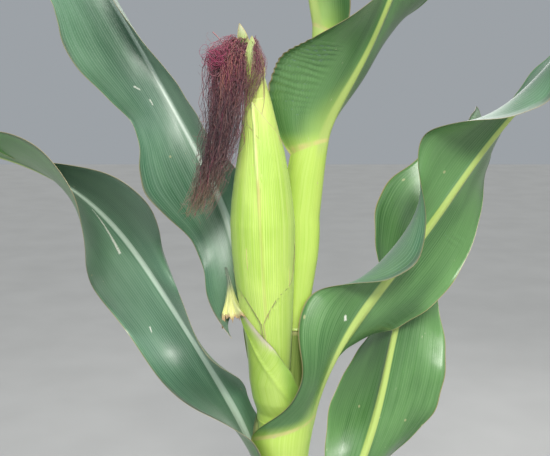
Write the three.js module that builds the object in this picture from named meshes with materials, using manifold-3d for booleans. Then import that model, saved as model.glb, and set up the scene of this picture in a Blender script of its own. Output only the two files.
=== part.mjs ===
// Maize plant with one ear, rooted in level ground: a leaning stem with prop roots, fourteen
// leaves in two ranks, an ear in its husks with a hanging tuft of silk, and a tassel.
// Units are millimetres, +Z is up, and the origin is the middle of the flat cut at the stem's
// foot. The two ranks of leaves point along -X and +X, and the ear stands on the -Y side.

import * as THREE from "three";
import * as BufferGeometryUtils from "three/addons/utils/BufferGeometryUtils.js";
import Module from "manifold-3d";

const wasm = await Module();
wasm.setup();

const { sin, cos, exp, PI, min, max, abs } = Math;
const rad = THREE.MathUtils.degToRad;
const lerp = THREE.MathUtils.lerp;
const point = (x, y, z) => new THREE.Vector3(x, y, z);

// Stem
const LEAN = 0.0615;             // slope of the lower stem towards +X
const BEND = 0.042;              // slope that the stem gains above the ear
const BEND_FROM = 1030;
const BEND_OVER = 120;
const STEM_TOP = 1925;
const STEM_RADII = [
  { z: 0, r: 15.5 }, { z: 40, r: 14.6 }, { z: 200, r: 13.6 }, { z: 560, r: 12.6 },
  { z: 885, r: 11.3 }, { z: 1080, r: 9.8 }, { z: 1220, r: 8.6 }, { z: 1335, r: 7.8 },
  { z: 1700, r: 5.2 }, { z: STEM_TOP, r: 3.6 },
];
const KNOT = 0.5;                // how far the stem swells at a node
const KNOT_LENGTH = 7;
const STEM_SIDES = 16;

// Prop roots: whorls at the lowest nodes that arch down to the ground
const PROP_WHORLS = [
  { count: 8, from: 82, reach: 62, radius: 3.6, turn: 10 },
  { count: 7, from: 46, reach: 40, radius: 3.2, turn: 34 },
];
const PROP_STEPS = 6;
const PROP_SIDES = 6;

// Leaves
const SHEATH_THICK = 1.5;
const CLEAR = 0.4;               // gap between one solid and the next
const WRAP = 165;                // how far each side of a sheath goes round, in degrees
const FLARE = 1;                 // how much wider than need be a sheath is at its collar
const LEAF_STOUTNESS = 0.0102;   // thickness at the midrib over the length of the blade
const MARGIN_STOUTNESS = 0.4;    // thickness at the margin over that at the midrib
const CURL = 22;                 // half angle of the open blade's trough
// Distances past the collar over which the blade takes up its own shape
const SETTLE = { bend: 25, open: 38, width: 40, skew: 55, turn: 60, wave: 60, stout: 60 };
const FIRST_RISE = 86;           // slope of the midrib where it leaves the collar
const TIP_HALF_WIDTH = 1.6;
const BASE_SHARE = 0.62;         // width of a blade past its collar over its greatest width
const WIDEST_AT = 0.34;          // share of the blade's length where it is widest
const JOIN_GAP = 0.4;            // gap where a long leaf is parted at its bend
const BEND_AT = 0.46;            // share of the blade's rows that lie before that bend
const NEAR_ROWS = [0, 14, 32, 56, 84];
const PATH_STEPS = 240;          // steps in which a midrib is worked out
const TIGHT_AT = 30;             // height over its node where a sheath fits the stem
const DROP = 30;                 // how far back the margins leave the collar

// Beside the ear the sheaths are pushed off the stem's middle
const PUSH = { from: 860, full: 930, until: 960, gone: 1020, x: -6.5, y: -4.5 };

const EAR = [
  { z: 905, x: 42.3, y: -9.3, r: 4.6 }, { z: 925, x: 41, y: -10.6, r: 7.4 },
  { z: 945, x: 40.9, y: -12.1, r: 9.1 }, { z: 965, x: 40.7, y: -13.6, r: 10.9 },
  { z: 1000, x: 41, y: -20, r: 15.4 }, { z: 1050, x: 36, y: -26, r: 22.2 },
  { z: 1080, x: 34, y: -29, r: 25 }, { z: 1112, x: 32.6, y: -30.5, r: 27.2 },
  { z: 1140, x: 32, y: -31, r: 28 }, { z: 1160, x: 31.7, y: -31.6, r: 26.4 },
  { z: 1182, x: 31.5, y: -32, r: 23.4 }, { z: 1205, x: 31, y: -32, r: 19.3 },
  { z: 1227, x: 30, y: -32, r: 14.9 }, { z: 1248, x: 28.3, y: -31.4, r: 11.4 },
  { z: 1271, x: 25, y: -30.5, r: 8.4 }, { z: 1290, x: 22, y: -29.5, r: 6 },
  { z: 1304, x: 19.6, y: -28.6, r: 3.6 },
];
const EAR_SIDES = 18;

// Silk: oval levels from the crown over the ear's tip down to the ragged end
const SILK = [
  { z: 1322, x: 13, y: -31, rx: 9, ry: 6 }, { z: 1315, x: 10, y: -33, rx: 19, ry: 11 },
  { z: 1304, x: 8, y: -36, rx: 24, ry: 15 }, { z: 1290, x: 7, y: -39, rx: 25, ry: 15 },
  { z: 1272, x: 5, y: -43, rx: 22, ry: 14 }, { z: 1252, x: 2.5, y: -47, rx: 17.5, ry: 12 },
  { z: 1228, x: -1.5, y: -51, rx: 15, ry: 11 }, { z: 1200, x: -7, y: -53, rx: 14, ry: 10 },
  { z: 1175, x: -14, y: -53, rx: 12.5, ry: 9 }, { z: 1155, x: -23, y: -53, rx: 11, ry: 7.5 },
  { z: 1140, x: -32, y: -53, rx: 7, ry: 5 },
];
const SILK_SIDES = 14;
const SILK_LIFT = 0.5;           // how far the silk lies off the husks

// Tassel
const TASSEL_TOP = 2270;
const SPIKE_RADIUS = 5;
const TASSEL_BRANCHES = 11;
const TASSEL_FROM = 1945;
const TASSEL_TO = 2065;
const BRANCH_RADIUS = 3.4;
const BRANCH_LENGTH = 235;
const BRANCH_STEPS = 6;
const BRANCH_SIDES = 6;
const BRANCH_RISE = { lowest: 62, highest: 74, droop: 46 };
const GOLDEN_TURN = 137.5;

const LOOKS = {
  stem: { color: 0x8aa83c, roughness: 0.55, metalness: 0 },
  leaf: { color: 0x3f7a35, roughness: 0.45, metalness: 0 },
  drying: { color: 0x9a9a4a, roughness: 0.7, metalness: 0 },
  dead: { color: 0xb59b62, roughness: 0.85, metalness: 0 },
  ear: { color: 0xa9c850, roughness: 0.5, metalness: 0 },
  silk: { color: 0x6b2b3c, roughness: 0.75, metalness: 0 },
  tassel: { color: 0xb9a35a, roughness: 0.8, metalness: 0 },
};

// The leaves from the ground up. node and collar are the heights where the sheath starts and
// where the blade leaves the stem. The lists of seven are evenly spaced along the blade, in
// degrees: rise of the midrib, its swing from the first azimuth, roll of the blade about it,
// and how far each half folds towards the upper side. A wave is depth, length and phase, and
// a lapel curls one half of the blade over: angle, distance along the blade and half length.
// drop is how far back the margins leave the collar, and base the share of the full width
// that the blade starts with. A sheath list gives its radius by height, and where it stands
// open also its azimuth, how far each side wraps, and the middle of its last three rings.
const LEAVES = [
  { node: 118, collar: 252, azimuth: 338, length: 430, width: 52, columns: 8, look: "dead",
    rise: [48, 10, -38, -60, -52, -35, -20], swing: [0, -6, -14, -20, -26, -30, -34],
    roll: [0, 20, 50, 70, 60, 40, 30], foldLeft: [10, 30, 45, 50, 45, 40, 30],
    foldRight: [10, 34, 50, 55, 50, 45, 30], waveLeft: [6, 95, 20], waveRight: [7, 105, 140] },
  { node: 236, collar: 362, azimuth: 171, length: 600, width: 74, columns: 8, look: "drying",
    rise: [60, 48, 34, 8, -30, -52, -62], swing: [0, 4, 8, 10, 14, 16, 18],
    roll: [0, -16, -26, -22, -10, 6, 10], foldLeft: [8, 16, 14, 12, 10, 8, 6],
    foldRight: [8, 14, 14, 12, 10, 8, 6], waveLeft: [10, 150, 30], waveRight: [9, 165, 170] },
  { node: 346, collar: 470, azimuth: 9, length: 700, width: 86, columns: 8, look: "leaf",
    rise: [62, 52, 42, 18, -20, -46, -62], swing: [0, -4, -6, -10, -14, -16, -18],
    roll: [0, 14, 22, 20, 10, -4, -10], foldLeft: [8, 16, 14, 12, 10, 8, 6],
    foldRight: [8, 14, 14, 12, 10, 8, 6], waveLeft: [12, 170, 100], waveRight: [11, 155, 250] },
  { node: 454, collar: 590, azimuth: 189, length: 780, width: 96, columns: 8, look: "leaf",
    rise: [62, 50, 34, 6, -26, -50, -64], swing: [0, 6, 10, 14, 16, 18, 20],
    roll: [0, -18, -30, -26, -14, 0, 8], foldLeft: [8, 18, 16, 14, 12, 10, 6],
    foldRight: [8, 18, 16, 14, 12, 10, 6], waveLeft: [13, 180, 200], waveRight: [12, 165, 60] },
  { node: 570, collar: 731, azimuth: 15, length: 860, width: 106, columns: 10, look: "leaf",
    radius: 20.4,
    rise: [48, 66, 79, 52, 2, -42, -68], swing: [14, 4, 1, 24, 58, 74, 80],
    roll: [0, -62, -87, -68, -39, -16, 3], foldLeft: [-8, -25, -25, -13, 2, 10, 15],
    foldRight: [-16, 39, 78, 71, 47, 21, -1], waveLeft: [17, 212, 188], waveRight: [16, 191, 4] },
  { node: 668, collar: 859, azimuth: 163, length: 860, width: 107, columns: 10, look: "leaf",
    rise: [66, 60, 55, 18, -19, -50, -74], swing: [12, 14, 32, 27, 4, -4, -6],
    roll: [30, -68, -80, -62, -31, -9, 8], foldLeft: [-10, -10, 8, 82, 68, 40, 12],
    foldRight: [2, 81, 53, 82, 73, 39, -1], waveLeft: [-45, 260, 123], waveRight: [-45, 167, 271],
    wrap: 157,
    sheath: [
      { z: 668, radius: 14.6 }, { z: 768, radius: 16.2 }, { z: 828, radius: 18 },
      { z: 853, radius: 21.5 },
    ] },
  { node: 770, collar: 945, azimuth: 355, length: 860, width: 113, columns: 10, look: "leaf",
    rise: [66, 54, 57, 38, 9, -22, -55], swing: [27, 2, -13, -8, -2, 0, 0],
    roll: [-14, -86, -52, -20, -11, -6, -1], foldLeft: [-10, -9, 23, 38, 31, 19, 7],
    foldRight: [-5, 15, 19, 21, 19, 14, 9], waveLeft: [-11, 220, 124], waveRight: [34, 167, -135],
    lapelRight: [[-202, 194, 88], [-121, 419, 100]],
    sheath: [
      { z: 770, radius: 13.4 }, { z: 853, radius: 16.6 }, { z: 880, radius: 20.4 },
      { z: 900, radius: 24.4 }, { z: 922, radius: 28.2 }, { z: 945, radius: 30 },
    ] },
  { node: 865, collar: 1043, azimuth: 127, length: 840, width: 116, columns: 10, look: "leaf",
    rise: [69, 59, 58, 50, 17, -23, -63], swing: [-11, 19, 34, 26, 18, 15, 14],
    roll: [-83, -87, -84, -60, -37, -16, 5], foldLeft: [29, 35, 14, 8, 8, 9, 9],
    foldRight: [-17, 19, 60, 64, 48, 24, 0], waveLeft: [-29, 166, -54], waveRight: [16, 183, 132],
    sheath: [
      { z: 865, radius: 13.2, azimuth: 180, left: 170, right: 170 },
      { z: 880, radius: 16, azimuth: 178, left: 170, right: 170 },
      { z: 900, radius: 19.8, azimuth: 176, left: 168, right: 168 },
      { z: 925, radius: 22.8, azimuth: 172, left: 166, right: 156 },
      { z: 951, radius: 25.6, azimuth: 168, left: 160, right: 112 },
      { z: 965, radius: 27.5, azimuth: 165, left: 155, right: 86, x: 50, y: -8 },
      { z: 1000, radius: 28, azimuth: 152, left: 122, right: 72, x: 45, y: -15 },
      { z: 1043, radius: 29.5, azimuth: 127, left: 110, right: 60, x: 35, y: -26 },
    ] },
  { node: 1030, collar: 1213.5, azimuth: 333, length: 820, width: 138, columns: 10, look: "leaf",
    drop: 15, base: 1,
    rise: [46, 68, 47, 32, 7, -26, -61], swing: [-9, 8, 7, 2, 0, 0, 0],
    roll: [26, -1, -21, -31, -29, -17, -2], foldLeft: [-15, -25, -11, 5, 13, 14, 12],
    foldRight: [21, 15, 14, 15, 14, 12, 8], waveLeft: [16, 177, -120], waveRight: [45, 260, 51],
    sheath: [
      { z: 1030, radius: 12.1, azimuth: 333, left: 168, right: 168 },
      { z: 1056, radius: 12.2, azimuth: 333, left: 168, right: 168 },
      { z: 1100, radius: 15.5, azimuth: 333, left: 168, right: 168 },
      { z: 1140, radius: 16.8, azimuth: 333, left: 162, right: 160, x: 68.7, y: 1.8 },
      { z: 1180, radius: 18.2, azimuth: 333, left: 140, right: 144, x: 71.3, y: 2.5 },
      { z: 1213.5, radius: 19, azimuth: 333, left: 110, right: 118, x: 74.0, y: 3.0 },
    ] },
  { node: 1222, collar: 1318, azimuth: 188, length: 780, width: 106, columns: 10, look: "leaf",
    radius: 11, drop: 20,
    rise: [80, 66, 58, 40, 0, -38, -60], swing: [0, 4, 6, 8, 10, 12, 14],
    roll: [0, -24, -36, -30, -16, 0, 8], foldLeft: [10, 30, 24, 18, 14, 10, 6],
    foldRight: [10, 30, 24, 18, 14, 10, 6], waveLeft: [14, 180, 60], waveRight: [12, 170, 200] },
  { node: 1328, collar: 1450, azimuth: 7, length: 720, width: 100, columns: 6, look: "leaf",
    rise: [74, 66, 56, 30, -12, -44, -62], swing: [0, -4, -8, -10, -12, -14, -16],
    roll: [0, 14, 20, 16, 8, -4, -8], foldLeft: [10, 24, 20, 16, 12, 10, 6],
    foldRight: [10, 24, 20, 16, 12, 10, 6], waveLeft: [12, 165, 140], waveRight: [11, 150, 10] },
  { node: 1474, collar: 1580, azimuth: 177, length: 640, width: 92, columns: 6, look: "leaf",
    rise: [76, 68, 60, 40, 4, -30, -52], swing: [0, -4, -8, -12, -14, -16, -18],
    roll: [0, 12, 20, 16, 6, -4, -8], foldLeft: [12, 24, 20, 16, 12, 10, 6],
    foldRight: [12, 24, 20, 16, 12, 10, 6], waveLeft: [10, 150, 220], waveRight: [9, 160, 80] },
  { node: 1600, collar: 1694, azimuth: 350, length: 540, width: 80, columns: 6, look: "leaf",
    rise: [78, 70, 62, 48, 22, -10, -36], swing: [0, 4, 8, 10, 12, 14, 16],
    roll: [0, -10, -16, -12, -6, 2, 6], foldLeft: [14, 26, 22, 18, 14, 10, 6],
    foldRight: [14, 26, 22, 18, 14, 10, 6], waveLeft: [8, 140, 300], waveRight: [8, 130, 120] },
  { node: 1716, collar: 1806, azimuth: 172, length: 420, width: 62, columns: 6, look: "leaf",
    rise: [80, 72, 64, 54, 38, 14, -10], swing: [0, -4, -6, -8, -8, -8, -8],
    roll: [0, 8, 12, 10, 6, 2, 0], foldLeft: [16, 28, 24, 20, 16, 12, 8],
    foldRight: [16, 28, 24, 20, 16, 12, 8], waveLeft: [6, 120, 10], waveRight: [6, 125, 190] },
];

// Value at height z of a list of stations, on a straight line between each pair
function station(list, z, key) {
  let i = 1;
  while (i < list.length - 1 && z > list[i].z) i += 1;
  const a = list[i - 1];
  const b = list[i];
  return lerp(a[key], b[key], min(1, max(0, (z - a.z) / (b.z - a.z))));
}

// Catmull-Rom curve through evenly spaced values, t from 0 to 1
function spread(values, t) {
  const last = values.length - 1;
  const x = min(1, max(0, t)) * last;
  const i = min(last - 1, Math.floor(x));
  const f = x - i;
  const [a, b] = [values[max(0, i - 1)], values[i]];
  const [c, d] = [values[i + 1], values[min(last, i + 2)]];
  return 0.5 * (2 * b + (c - a) * f + (2 * a - 5 * b + 4 * c - d) * f ** 2
    + (3 * b - a - 3 * c + d) * f ** 3);
}

// Middle of the stem at height z: a straight lean, then a steeper one above the ear
function stemMiddle(z) {
  const t = min(1, max(0, (z - BEND_FROM) / BEND_OVER));
  const turned = BEND_OVER * (t ** 3 - t ** 4 / 2) + max(0, z - BEND_FROM - BEND_OVER);
  return point(LEAN * z + BEND * turned, 0, z);
}

function stemRadius(z) {
  const knots = LEAVES.map((leaf) => leaf.node).concat(PROP_WHORLS.map((whorl) => whorl.from));
  const swell = knots.reduce((sum, at) => sum + exp(-(((z - at) / KNOT_LENGTH) ** 2)), 0);
  return station(STEM_RADII, z, "r") + KNOT * min(1, swell);
}

// Middle of the bundle of sheaths, which the ear pushes off the stem
function bundleMiddle(z) {
  const { smoothstep } = THREE.MathUtils;
  const t = smoothstep(z, PUSH.from, PUSH.full) * (1 - smoothstep(z, PUSH.until, PUSH.gone));
  return stemMiddle(z).add(point(PUSH.x * t, PUSH.y * t, 0));
}

function geometryOf(positions, triangles) {
  const geometry = new THREE.BufferGeometry();
  geometry.setAttribute("position", new THREE.Float32BufferAttribute(positions, 3));
  geometry.setIndex(triangles);
  return geometry;
}

// Closed solid through rings of equal count, with a flat fan at each end
function ringSolid(rings) {
  const sides = rings[0].length;
  const positions = rings.flat().flatMap((p) => [p.x, p.y, p.z]);
  const triangles = [];
  for (let i = 0; i < rings.length - 1; i += 1) {
    for (let j = 0; j < sides; j += 1) {
      const a = i * sides + j;
      const b = i * sides + (j + 1) % sides;
      triangles.push(a, b, b + sides, a, b + sides, a + sides);
    }
  }
  const top = (rings.length - 1) * sides;
  for (let j = 1; j < sides - 1; j += 1) {
    triangles.push(0, j + 1, j);
    triangles.push(top, top + j, top + j + 1);
  }
  return geometryOf(positions, triangles);
}

// Ring of a level solid: an oval about a middle point
function levelRing(middle, rx, ry, sides) {
  return Array.from({ length: sides }, (_, j) => {
    const a = (j / sides) * 2 * PI;
    return point(middle.x + rx * cos(a), middle.y + ry * sin(a), middle.z);
  });
}

// Round rod along a list of points, with a radius at each
function rodSolid(points, radii, sides) {
  const rings = points.map((p, i) => {
    const along = points[min(points.length - 1, i + 1)].clone().sub(points[max(0, i - 1)]);
    const [u, v] = crossAxes(along.normalize());
    return Array.from({ length: sides }, (_, j) => {
      const a = (j / sides) * 2 * PI;
      return p.clone().addScaledVector(u, radii[i] * cos(a)).addScaledVector(v, radii[i] * sin(a));
    });
  });
  return ringSolid(rings);
}

function crossAxes(along) {
  const side = abs(along.z) > 0.9 ? point(1, 0, 0) : point(0, 0, 1);
  const u = side.clone().cross(along).normalize();
  return [u, along.clone().cross(u)];
}

function toManifold(geometry) {
  const bare = geometry.clone();
  bare.deleteAttribute("normal");
  bare.deleteAttribute("uv");
  const merged = BufferGeometryUtils.mergeVertices(bare, 1e-4);
  return new wasm.Manifold(new wasm.Mesh({
    numProp: 3,
    vertProperties: new Float32Array(merged.attributes.position.array),
    triVerts: new Uint32Array(merged.index.array),
  }));
}

function fromManifold(solid) {
  const mesh = solid.getMesh();
  return geometryOf(Array.from(mesh.vertProperties), Array.from(mesh.triVerts));
}

// Stem with a swelling at each node, and its prop roots fused on
function stemSolid() {
  const heights = new Set([0, 20, STEM_TOP]);
  for (let z = BEND_FROM + 25; z <= BEND_FROM + BEND_OVER; z += 25) heights.add(z);
  const knots = LEAVES.map((leaf) => leaf.node).concat(PROP_WHORLS.map((whorl) => whorl.from));
  for (const at of knots) [-1.6, 0, 1.6].forEach((k) => heights.add(at + k * KNOT_LENGTH));
  const levels = [...heights].sort((a, b) => a - b);
  const rings = levels.map((z) => {
    const r = stemRadius(z);
    return levelRing(stemMiddle(z), r, r, STEM_SIDES);
  });
  let solid = toManifold(ringSolid(rings));
  for (const whorl of PROP_WHORLS) {
    for (let k = 0; k < whorl.count; k += 1) {
      solid = solid.add(toManifold(propRoot(whorl, rad(whorl.turn + (360 * k) / whorl.count), k)));
    }
  }
  return fromManifold(solid);
}

// One prop root: an arch from inside the stem out and down to a flat end on the ground
function propRoot(whorl, azimuth, k) {
  const reach = whorl.reach * (k % 2 ? 0.88 : 1);
  const out = point(cos(azimuth), sin(azimuth), 0);
  const rings = [];
  for (let i = 0; i <= PROP_STEPS; i += 1) {
    const t = i / PROP_STEPS;
    const middle = stemMiddle(whorl.from).multiply(point(1 - t, 1, 1)).addScaledVector(out, reach * t);
    middle.z = whorl.from * (1 - t ** 1.7) - 6 * sin(PI * t) * (1 - t);
    const r = whorl.radius * (1 + 0.5 * (1 - t));
    const [side, up] = [point(-out.y, out.x, 0), out.clone().multiplyScalar(t)];
    up.z = 1 - t;
    up.normalize();
    rings.push(Array.from({ length: PROP_SIDES }, (_, j) => {
      const a = (j / PROP_SIDES) * 2 * PI;
      return middle.clone().addScaledVector(side, r * cos(a)).addScaledVector(up, r * sin(a));
    }));
  }
  return ringSolid(rings);
}

// Half width of a blade over its greatest half width, t from the collar to the tip
function bladeShape(t, base) {
  const widening = base + (1 - base) * sin((min(1, t / WIDEST_AT) * PI) / 2);
  const narrowing = 1 - max(0, (t - WIDEST_AT) / (1 - WIDEST_AT)) ** 2.4;
  return widening * narrowing;
}

// Radius that a sheath needs to clear what it is wrapped round, seen as a polygon
function sheathRadius(inside, leaf) {
  const halfStep = rad((170 * 2) / leaf.columns) / 2;
  return (inside + CLEAR) / cos(halfStep) + SHEATH_THICK / 2;
}

// Sheath of one leaf at a height: its middle, radius, azimuth and how far each side wraps
function sheathAt(leaf, z) {
  if (leaf.sheath) {
    const s = leaf.sheath;
    const free = s[0].azimuth !== undefined;
    const middle = bundleMiddle(z);
    const wrap = leaf.wrap ?? WRAP;
    if (free && z > s.at(-3).z) {
      middle.x = station(s.slice(-3), z, "x");
      middle.y = station(s.slice(-3), z, "y");
    } else if (free && z > s.at(-4).z) {
      const t = (z - s.at(-4).z) / (s.at(-3).z - s.at(-4).z);
      middle.x = lerp(middle.x, s.at(-3).x, t);
      middle.y = lerp(middle.y, s.at(-3).y, t);
    }
    return {
      middle,
      radius: station(s, z, "radius"),
      azimuth: free ? station(s, z, "azimuth") : leaf.azimuth,
      left: free ? station(s, z, "left") : wrap,
      right: free ? station(s, z, "right") : wrap,
    };
  }
  const f = min(1, (z - leaf.node) / (leaf.wideFrom - leaf.node));
  const wrap = leaf.wrap ?? WRAP;
  return {
    middle: bundleMiddle(z), radius: lerp(tightRadius(leaf), wideRadius(leaf), f),
    azimuth: leaf.azimuth, left: wrap, right: wrap,
  };
}

// Radius of a sheath at its foot, close on the stem
function tightRadius(leaf) {
  return sheathRadius(stemRadius(leaf.node + TIGHT_AT) + KNOT, leaf);
}

// Radius of a sheath where it holds the foot of the next one
function wideRadius(leaf) {
  if (leaf.radius) return leaf.radius;
  const within = leaf.next ? tightRadius(leaf.next) + SHEATH_THICK / 2 : 0;
  return max(sheathRadius(within, leaf), tightRadius(leaf) + FLARE) + FLARE;
}

// A leaf as a function of s, the distance past its collar, and v, from -1 at the right
// margin over 0 at the midrib to 1 at the left margin. Below the collar s is negative.
class Leaf {
  constructor(spec, next) {
    const holdsNext = next && next.node < spec.collar;
    Object.assign(this, spec, holdsNext ? { next } : {});
    this.wideFrom = holdsNext ? next.node - 2 : this.collar;
    this.sheathLength = this.collar - this.node - 2;
    this.dropped = this.drop ?? DROP;
    this.top = sheathAt(this, this.collar);
    this.first = this.top.azimuth;
    const a = rad(this.first);
    const start = this.top.middle.clone()
      .add(point(cos(a), sin(a), 0).multiplyScalar(this.top.radius));
    this.step = this.length / PATH_STEPS;
    this.path = [start];
    for (let i = 0; i < PATH_STEPS; i += 1) {
      const { along } = this.axes((i + 0.5) * this.step);
      this.path.push(this.path[i].clone().addScaledVector(along, this.step));
    }
  }

  axes(d) {
    const t = d / this.length;
    const settled = 1 - exp(-d / SETTLE.turn);
    const rise = spread(this.rise, t) + (FIRST_RISE - this.rise[0]) * exp(-d / SETTLE.bend);
    const [e, a] = [rad(rise), rad(this.first + spread(this.swing, t) * settled)];
    const r = rad(spread(this.roll, t) * settled);
    const along = point(cos(e) * cos(a), cos(e) * sin(a), sin(e));
    const level = point(-sin(a), cos(a), 0);
    const up = along.clone().cross(level);
    const across = level.clone().multiplyScalar(cos(r)).addScaledVector(up, sin(r));
    const normal = up.clone().multiplyScalar(cos(r)).addScaledVector(level, -sin(r));
    return { along, across, normal };
  }

  midrib(d) {
    const x = min(PATH_STEPS, max(0, d / this.step));
    const i = min(PATH_STEPS - 1, Math.floor(x));
    return this.path[i].clone().lerp(this.path[i + 1], x - i);
  }

  blade(d, v) {
    const t = min(1, d / this.length);
    const [u, side] = [abs(v), v < 0 ? "Right" : "Left"];
    const { along, across, normal } = this.axes(d);
    const closed = exp(-d / SETTLE.open);
    const wrap = this.top[side.toLowerCase()];
    const wrapWidth = this.top.radius * rad(wrap);
    const base = this.base ?? BASE_SHARE;
    const half = max(TIP_HALF_WIDTH, (this.width / 2) * bladeShape(t, base))
      + (wrapWidth - (this.width / 2) * base) * exp(-d / SETTLE.width);
    let curl = CURL + (wrap - CURL) * closed;
    for (const [angle, at, reach] of this[`lapel${side}`] ?? []) {
      curl += angle * exp(-(((d - at) / reach) ** 2)) * (1 - closed);
    }
    const c = rad(abs(curl) < 0.5 ? 0.5 : curl);
    const k = rad(spread(this[`fold${side}`], t) * (1 - closed));
    const [depth, wavelength, phase] = this[`wave${side}`];
    const ease = (1 - exp(-d / SETTLE.wave)) * (1 - t ** 3);
    const ripple = depth * u ** 1.8 * ease * sin((2 * PI * d) / wavelength + rad(phase));
    const out = (half * (sin(k + c * u) - sin(k))) / c;
    const lift = (half * (cos(k) - cos(k + c * u))) / c + ripple;
    const back = -this.dropped * u ** 1.5 * exp(-d / SETTLE.skew);
    return this.midrib(d).addScaledVector(across, v < 0 ? -out : out)
      .addScaledVector(normal, lift).addScaledVector(along, back);
  }

  sheathRing(f, v) {
    const margin = this.dropped * abs(v) ** 1.5;
    const z = this.node + 2 + f * (this.sheathLength - margin);
    const { middle, radius, azimuth, left, right } = sheathAt(this, z);
    const a = rad(azimuth + (v < 0 ? v * right : v * left));
    return middle.add(point(radius * cos(a), radius * sin(a), 0));
  }

  at(s, v) {
    if (s >= 0) return this.blade(s, v);
    const f = max(0, 1 + s / this.sheathLength);
    const slip = this.blade(0, v).sub(this.sheathRing(1, v));
    return this.sheathRing(f, v).addScaledVector(slip, f ** 4);
  }

  thickness(s, v) {
    if (s <= 0) return SHEATH_THICK;
    const stout = this.length * LEAF_STOUTNESS * lerp(1, MARGIN_STOUTNESS, abs(v) ** 2);
    const tapered = stout * (1 - 0.5 * (s / this.length) ** 2);
    return lerp(SHEATH_THICK, tapered, 1 - exp(-((s / SETTLE.stout) ** 2)));
  }

  // The two faces of the leaf at s, v
  faces(s, v) {
    const [ds, dv] = [1.5, 0.02];
    const along = this.at(min(this.length, s + ds), v).sub(this.at(max(-this.sheathLength, s - ds), v));
    const across = this.at(s, min(1, v + dv)).sub(this.at(s, max(-1, v - dv)));
    const normal = along.cross(across).normalize();
    const half = this.thickness(s, v) / 2;
    const middle = this.at(s, v);
    return [
      middle.clone().addScaledVector(normal, half),
      middle.clone().addScaledVector(normal, -half),
    ];
  }

  // Closed sheet between two distances along the leaf
  solid(stops) {
    const columns = this.columns;
    const across = Array.from({ length: columns + 1 }, (_, j) => (2 * j) / columns - 1);
    const grid = stops.map((s) => across.map((v) => this.faces(s, v)));
    const wide = columns + 1;
    const count = stops.length * wide;
    const positions = [0, 1].flatMap((face) => grid.flatMap((row) => row
      .flatMap((pair) => pair[face].toArray())));
    const triangles = [];
    const quad = (a, b, c, d) => triangles.push(a, b, c, a, c, d);
    const last = stops.length - 1;
    for (let i = 0; i < last; i += 1) {
      for (let j = 0; j < columns; j += 1) {
        const [a, b] = [i * wide + j, i * wide + j + 1];
        quad(a, a + wide, b + wide, b);
        quad(count + a, count + b, count + b + wide, count + a + wide);
      }
      const [l, r] = [i * wide, i * wide + columns];
      quad(l, count + l, count + l + wide, l + wide);
      quad(r, r + wide, count + r + wide, count + r);
    }
    for (let j = 0; j < columns; j += 1) {
      const [a, b] = [j, last * wide + j];
      quad(a, a + 1, count + a + 1, count + a);
      quad(b, count + b, count + b + 1, b + 1);
    }
    return geometryOf(positions, triangles);
  }
}

// Distances along a leaf where its solid has a row, parted at the top of its arch
function leafStops(leaf) {
  const heights = leaf.sheath ? leaf.sheath.map(({ z }) => z)
    : [leaf.node, leaf.next ? leaf.wideFrom : lerp(leaf.node, leaf.collar, 0.45)];
  const below = heights.filter((z) => z < leaf.collar - 1)
    .map((z) => max(z - leaf.collar, -leaf.sheathLength));
  const far = leaf.columns > 8 ? 13 : 9;
  const rest = Array.from({ length: far }, (_, i) => (
    lerp(NEAR_ROWS.at(-1), leaf.length, (i + 1) / far)));
  const stops = [...below, ...NEAR_ROWS, ...rest];
  const bend = rest[Math.round(far * BEND_AT)];
  return {
    inner: stops.filter((s) => s <= bend),
    outer: [bend + JOIN_GAP, ...stops.filter((s) => s > bend)],
  };
}

const group = new THREE.Group();
function place(name, geometry, look) {
  const mesh = new THREE.Mesh(geometry, new THREE.MeshStandardMaterial(LOOKS[look]));
  mesh.name = name;
  group.add(mesh);
}

function earRings(grow) {
  return EAR.map(({ x, y, z, r }, i) => {
    const rise = (i === 0 ? -grow : 0) + (i === EAR.length - 1 ? grow : 0);
    return levelRing(point(x, y, z + rise), r + grow, r + grow, EAR_SIDES);
  });
}

function silkSolid() {
  const levels = [...SILK].reverse();
  const rings = levels.map(({ x, y, z, rx, ry }) => levelRing(point(x, y, z), rx, ry, SILK_SIDES));
  const hanging = toManifold(ringSolid(rings));
  return fromManifold(hanging.subtract(toManifold(ringSolid(earRings(SILK_LIFT)))));
}

// Tassel: a central spike that carries on the stem, and slender branches that arch out from it
function tasselSolid() {
  const foot = STEM_TOP + CLEAR;
  const spike = [0, 0.06, 0.3, 0.65, 0.9, 1].map((t) => lerp(foot, TASSEL_TOP, t));
  const radii = [3.4, 3.2, 3.4, SPIKE_RADIUS, SPIKE_RADIUS * 0.8, 1.5];
  const levels = spike.map((z, i) => levelRing(stemMiddle(z), radii[i], radii[i], BRANCH_SIDES + 2));
  let solid = toManifold(ringSolid(levels));
  for (let k = 0; k < TASSEL_BRANCHES; k += 1) {
    const share = k / (TASSEL_BRANCHES - 1);
    const azimuth = rad(GOLDEN_TURN * k + 20);
    const length = BRANCH_LENGTH * lerp(1, 0.7, share);
    const start = stemMiddle(lerp(TASSEL_FROM, TASSEL_TO, share));
    const points = [start];
    const radiiOut = [BRANCH_RADIUS * 0.75];
    for (let i = 1; i <= BRANCH_STEPS; i += 1) {
      const t = i / BRANCH_STEPS;
      const { lowest, highest, droop } = BRANCH_RISE;
      const rise = rad(lerp(lowest, highest, share) - droop * t ** 1.4);
      const step = point(cos(rise) * cos(azimuth), cos(rise) * sin(azimuth), sin(rise));
      points.push(points[i - 1].clone().addScaledVector(step, length / BRANCH_STEPS));
      radiiOut.push(BRANCH_RADIUS * (t > 0.85 ? 0.55 : 1));
    }
    solid = solid.add(toManifold(rodSolid(points, radiiOut, BRANCH_SIDES)));
  }
  return fromManifold(solid);
}

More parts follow.
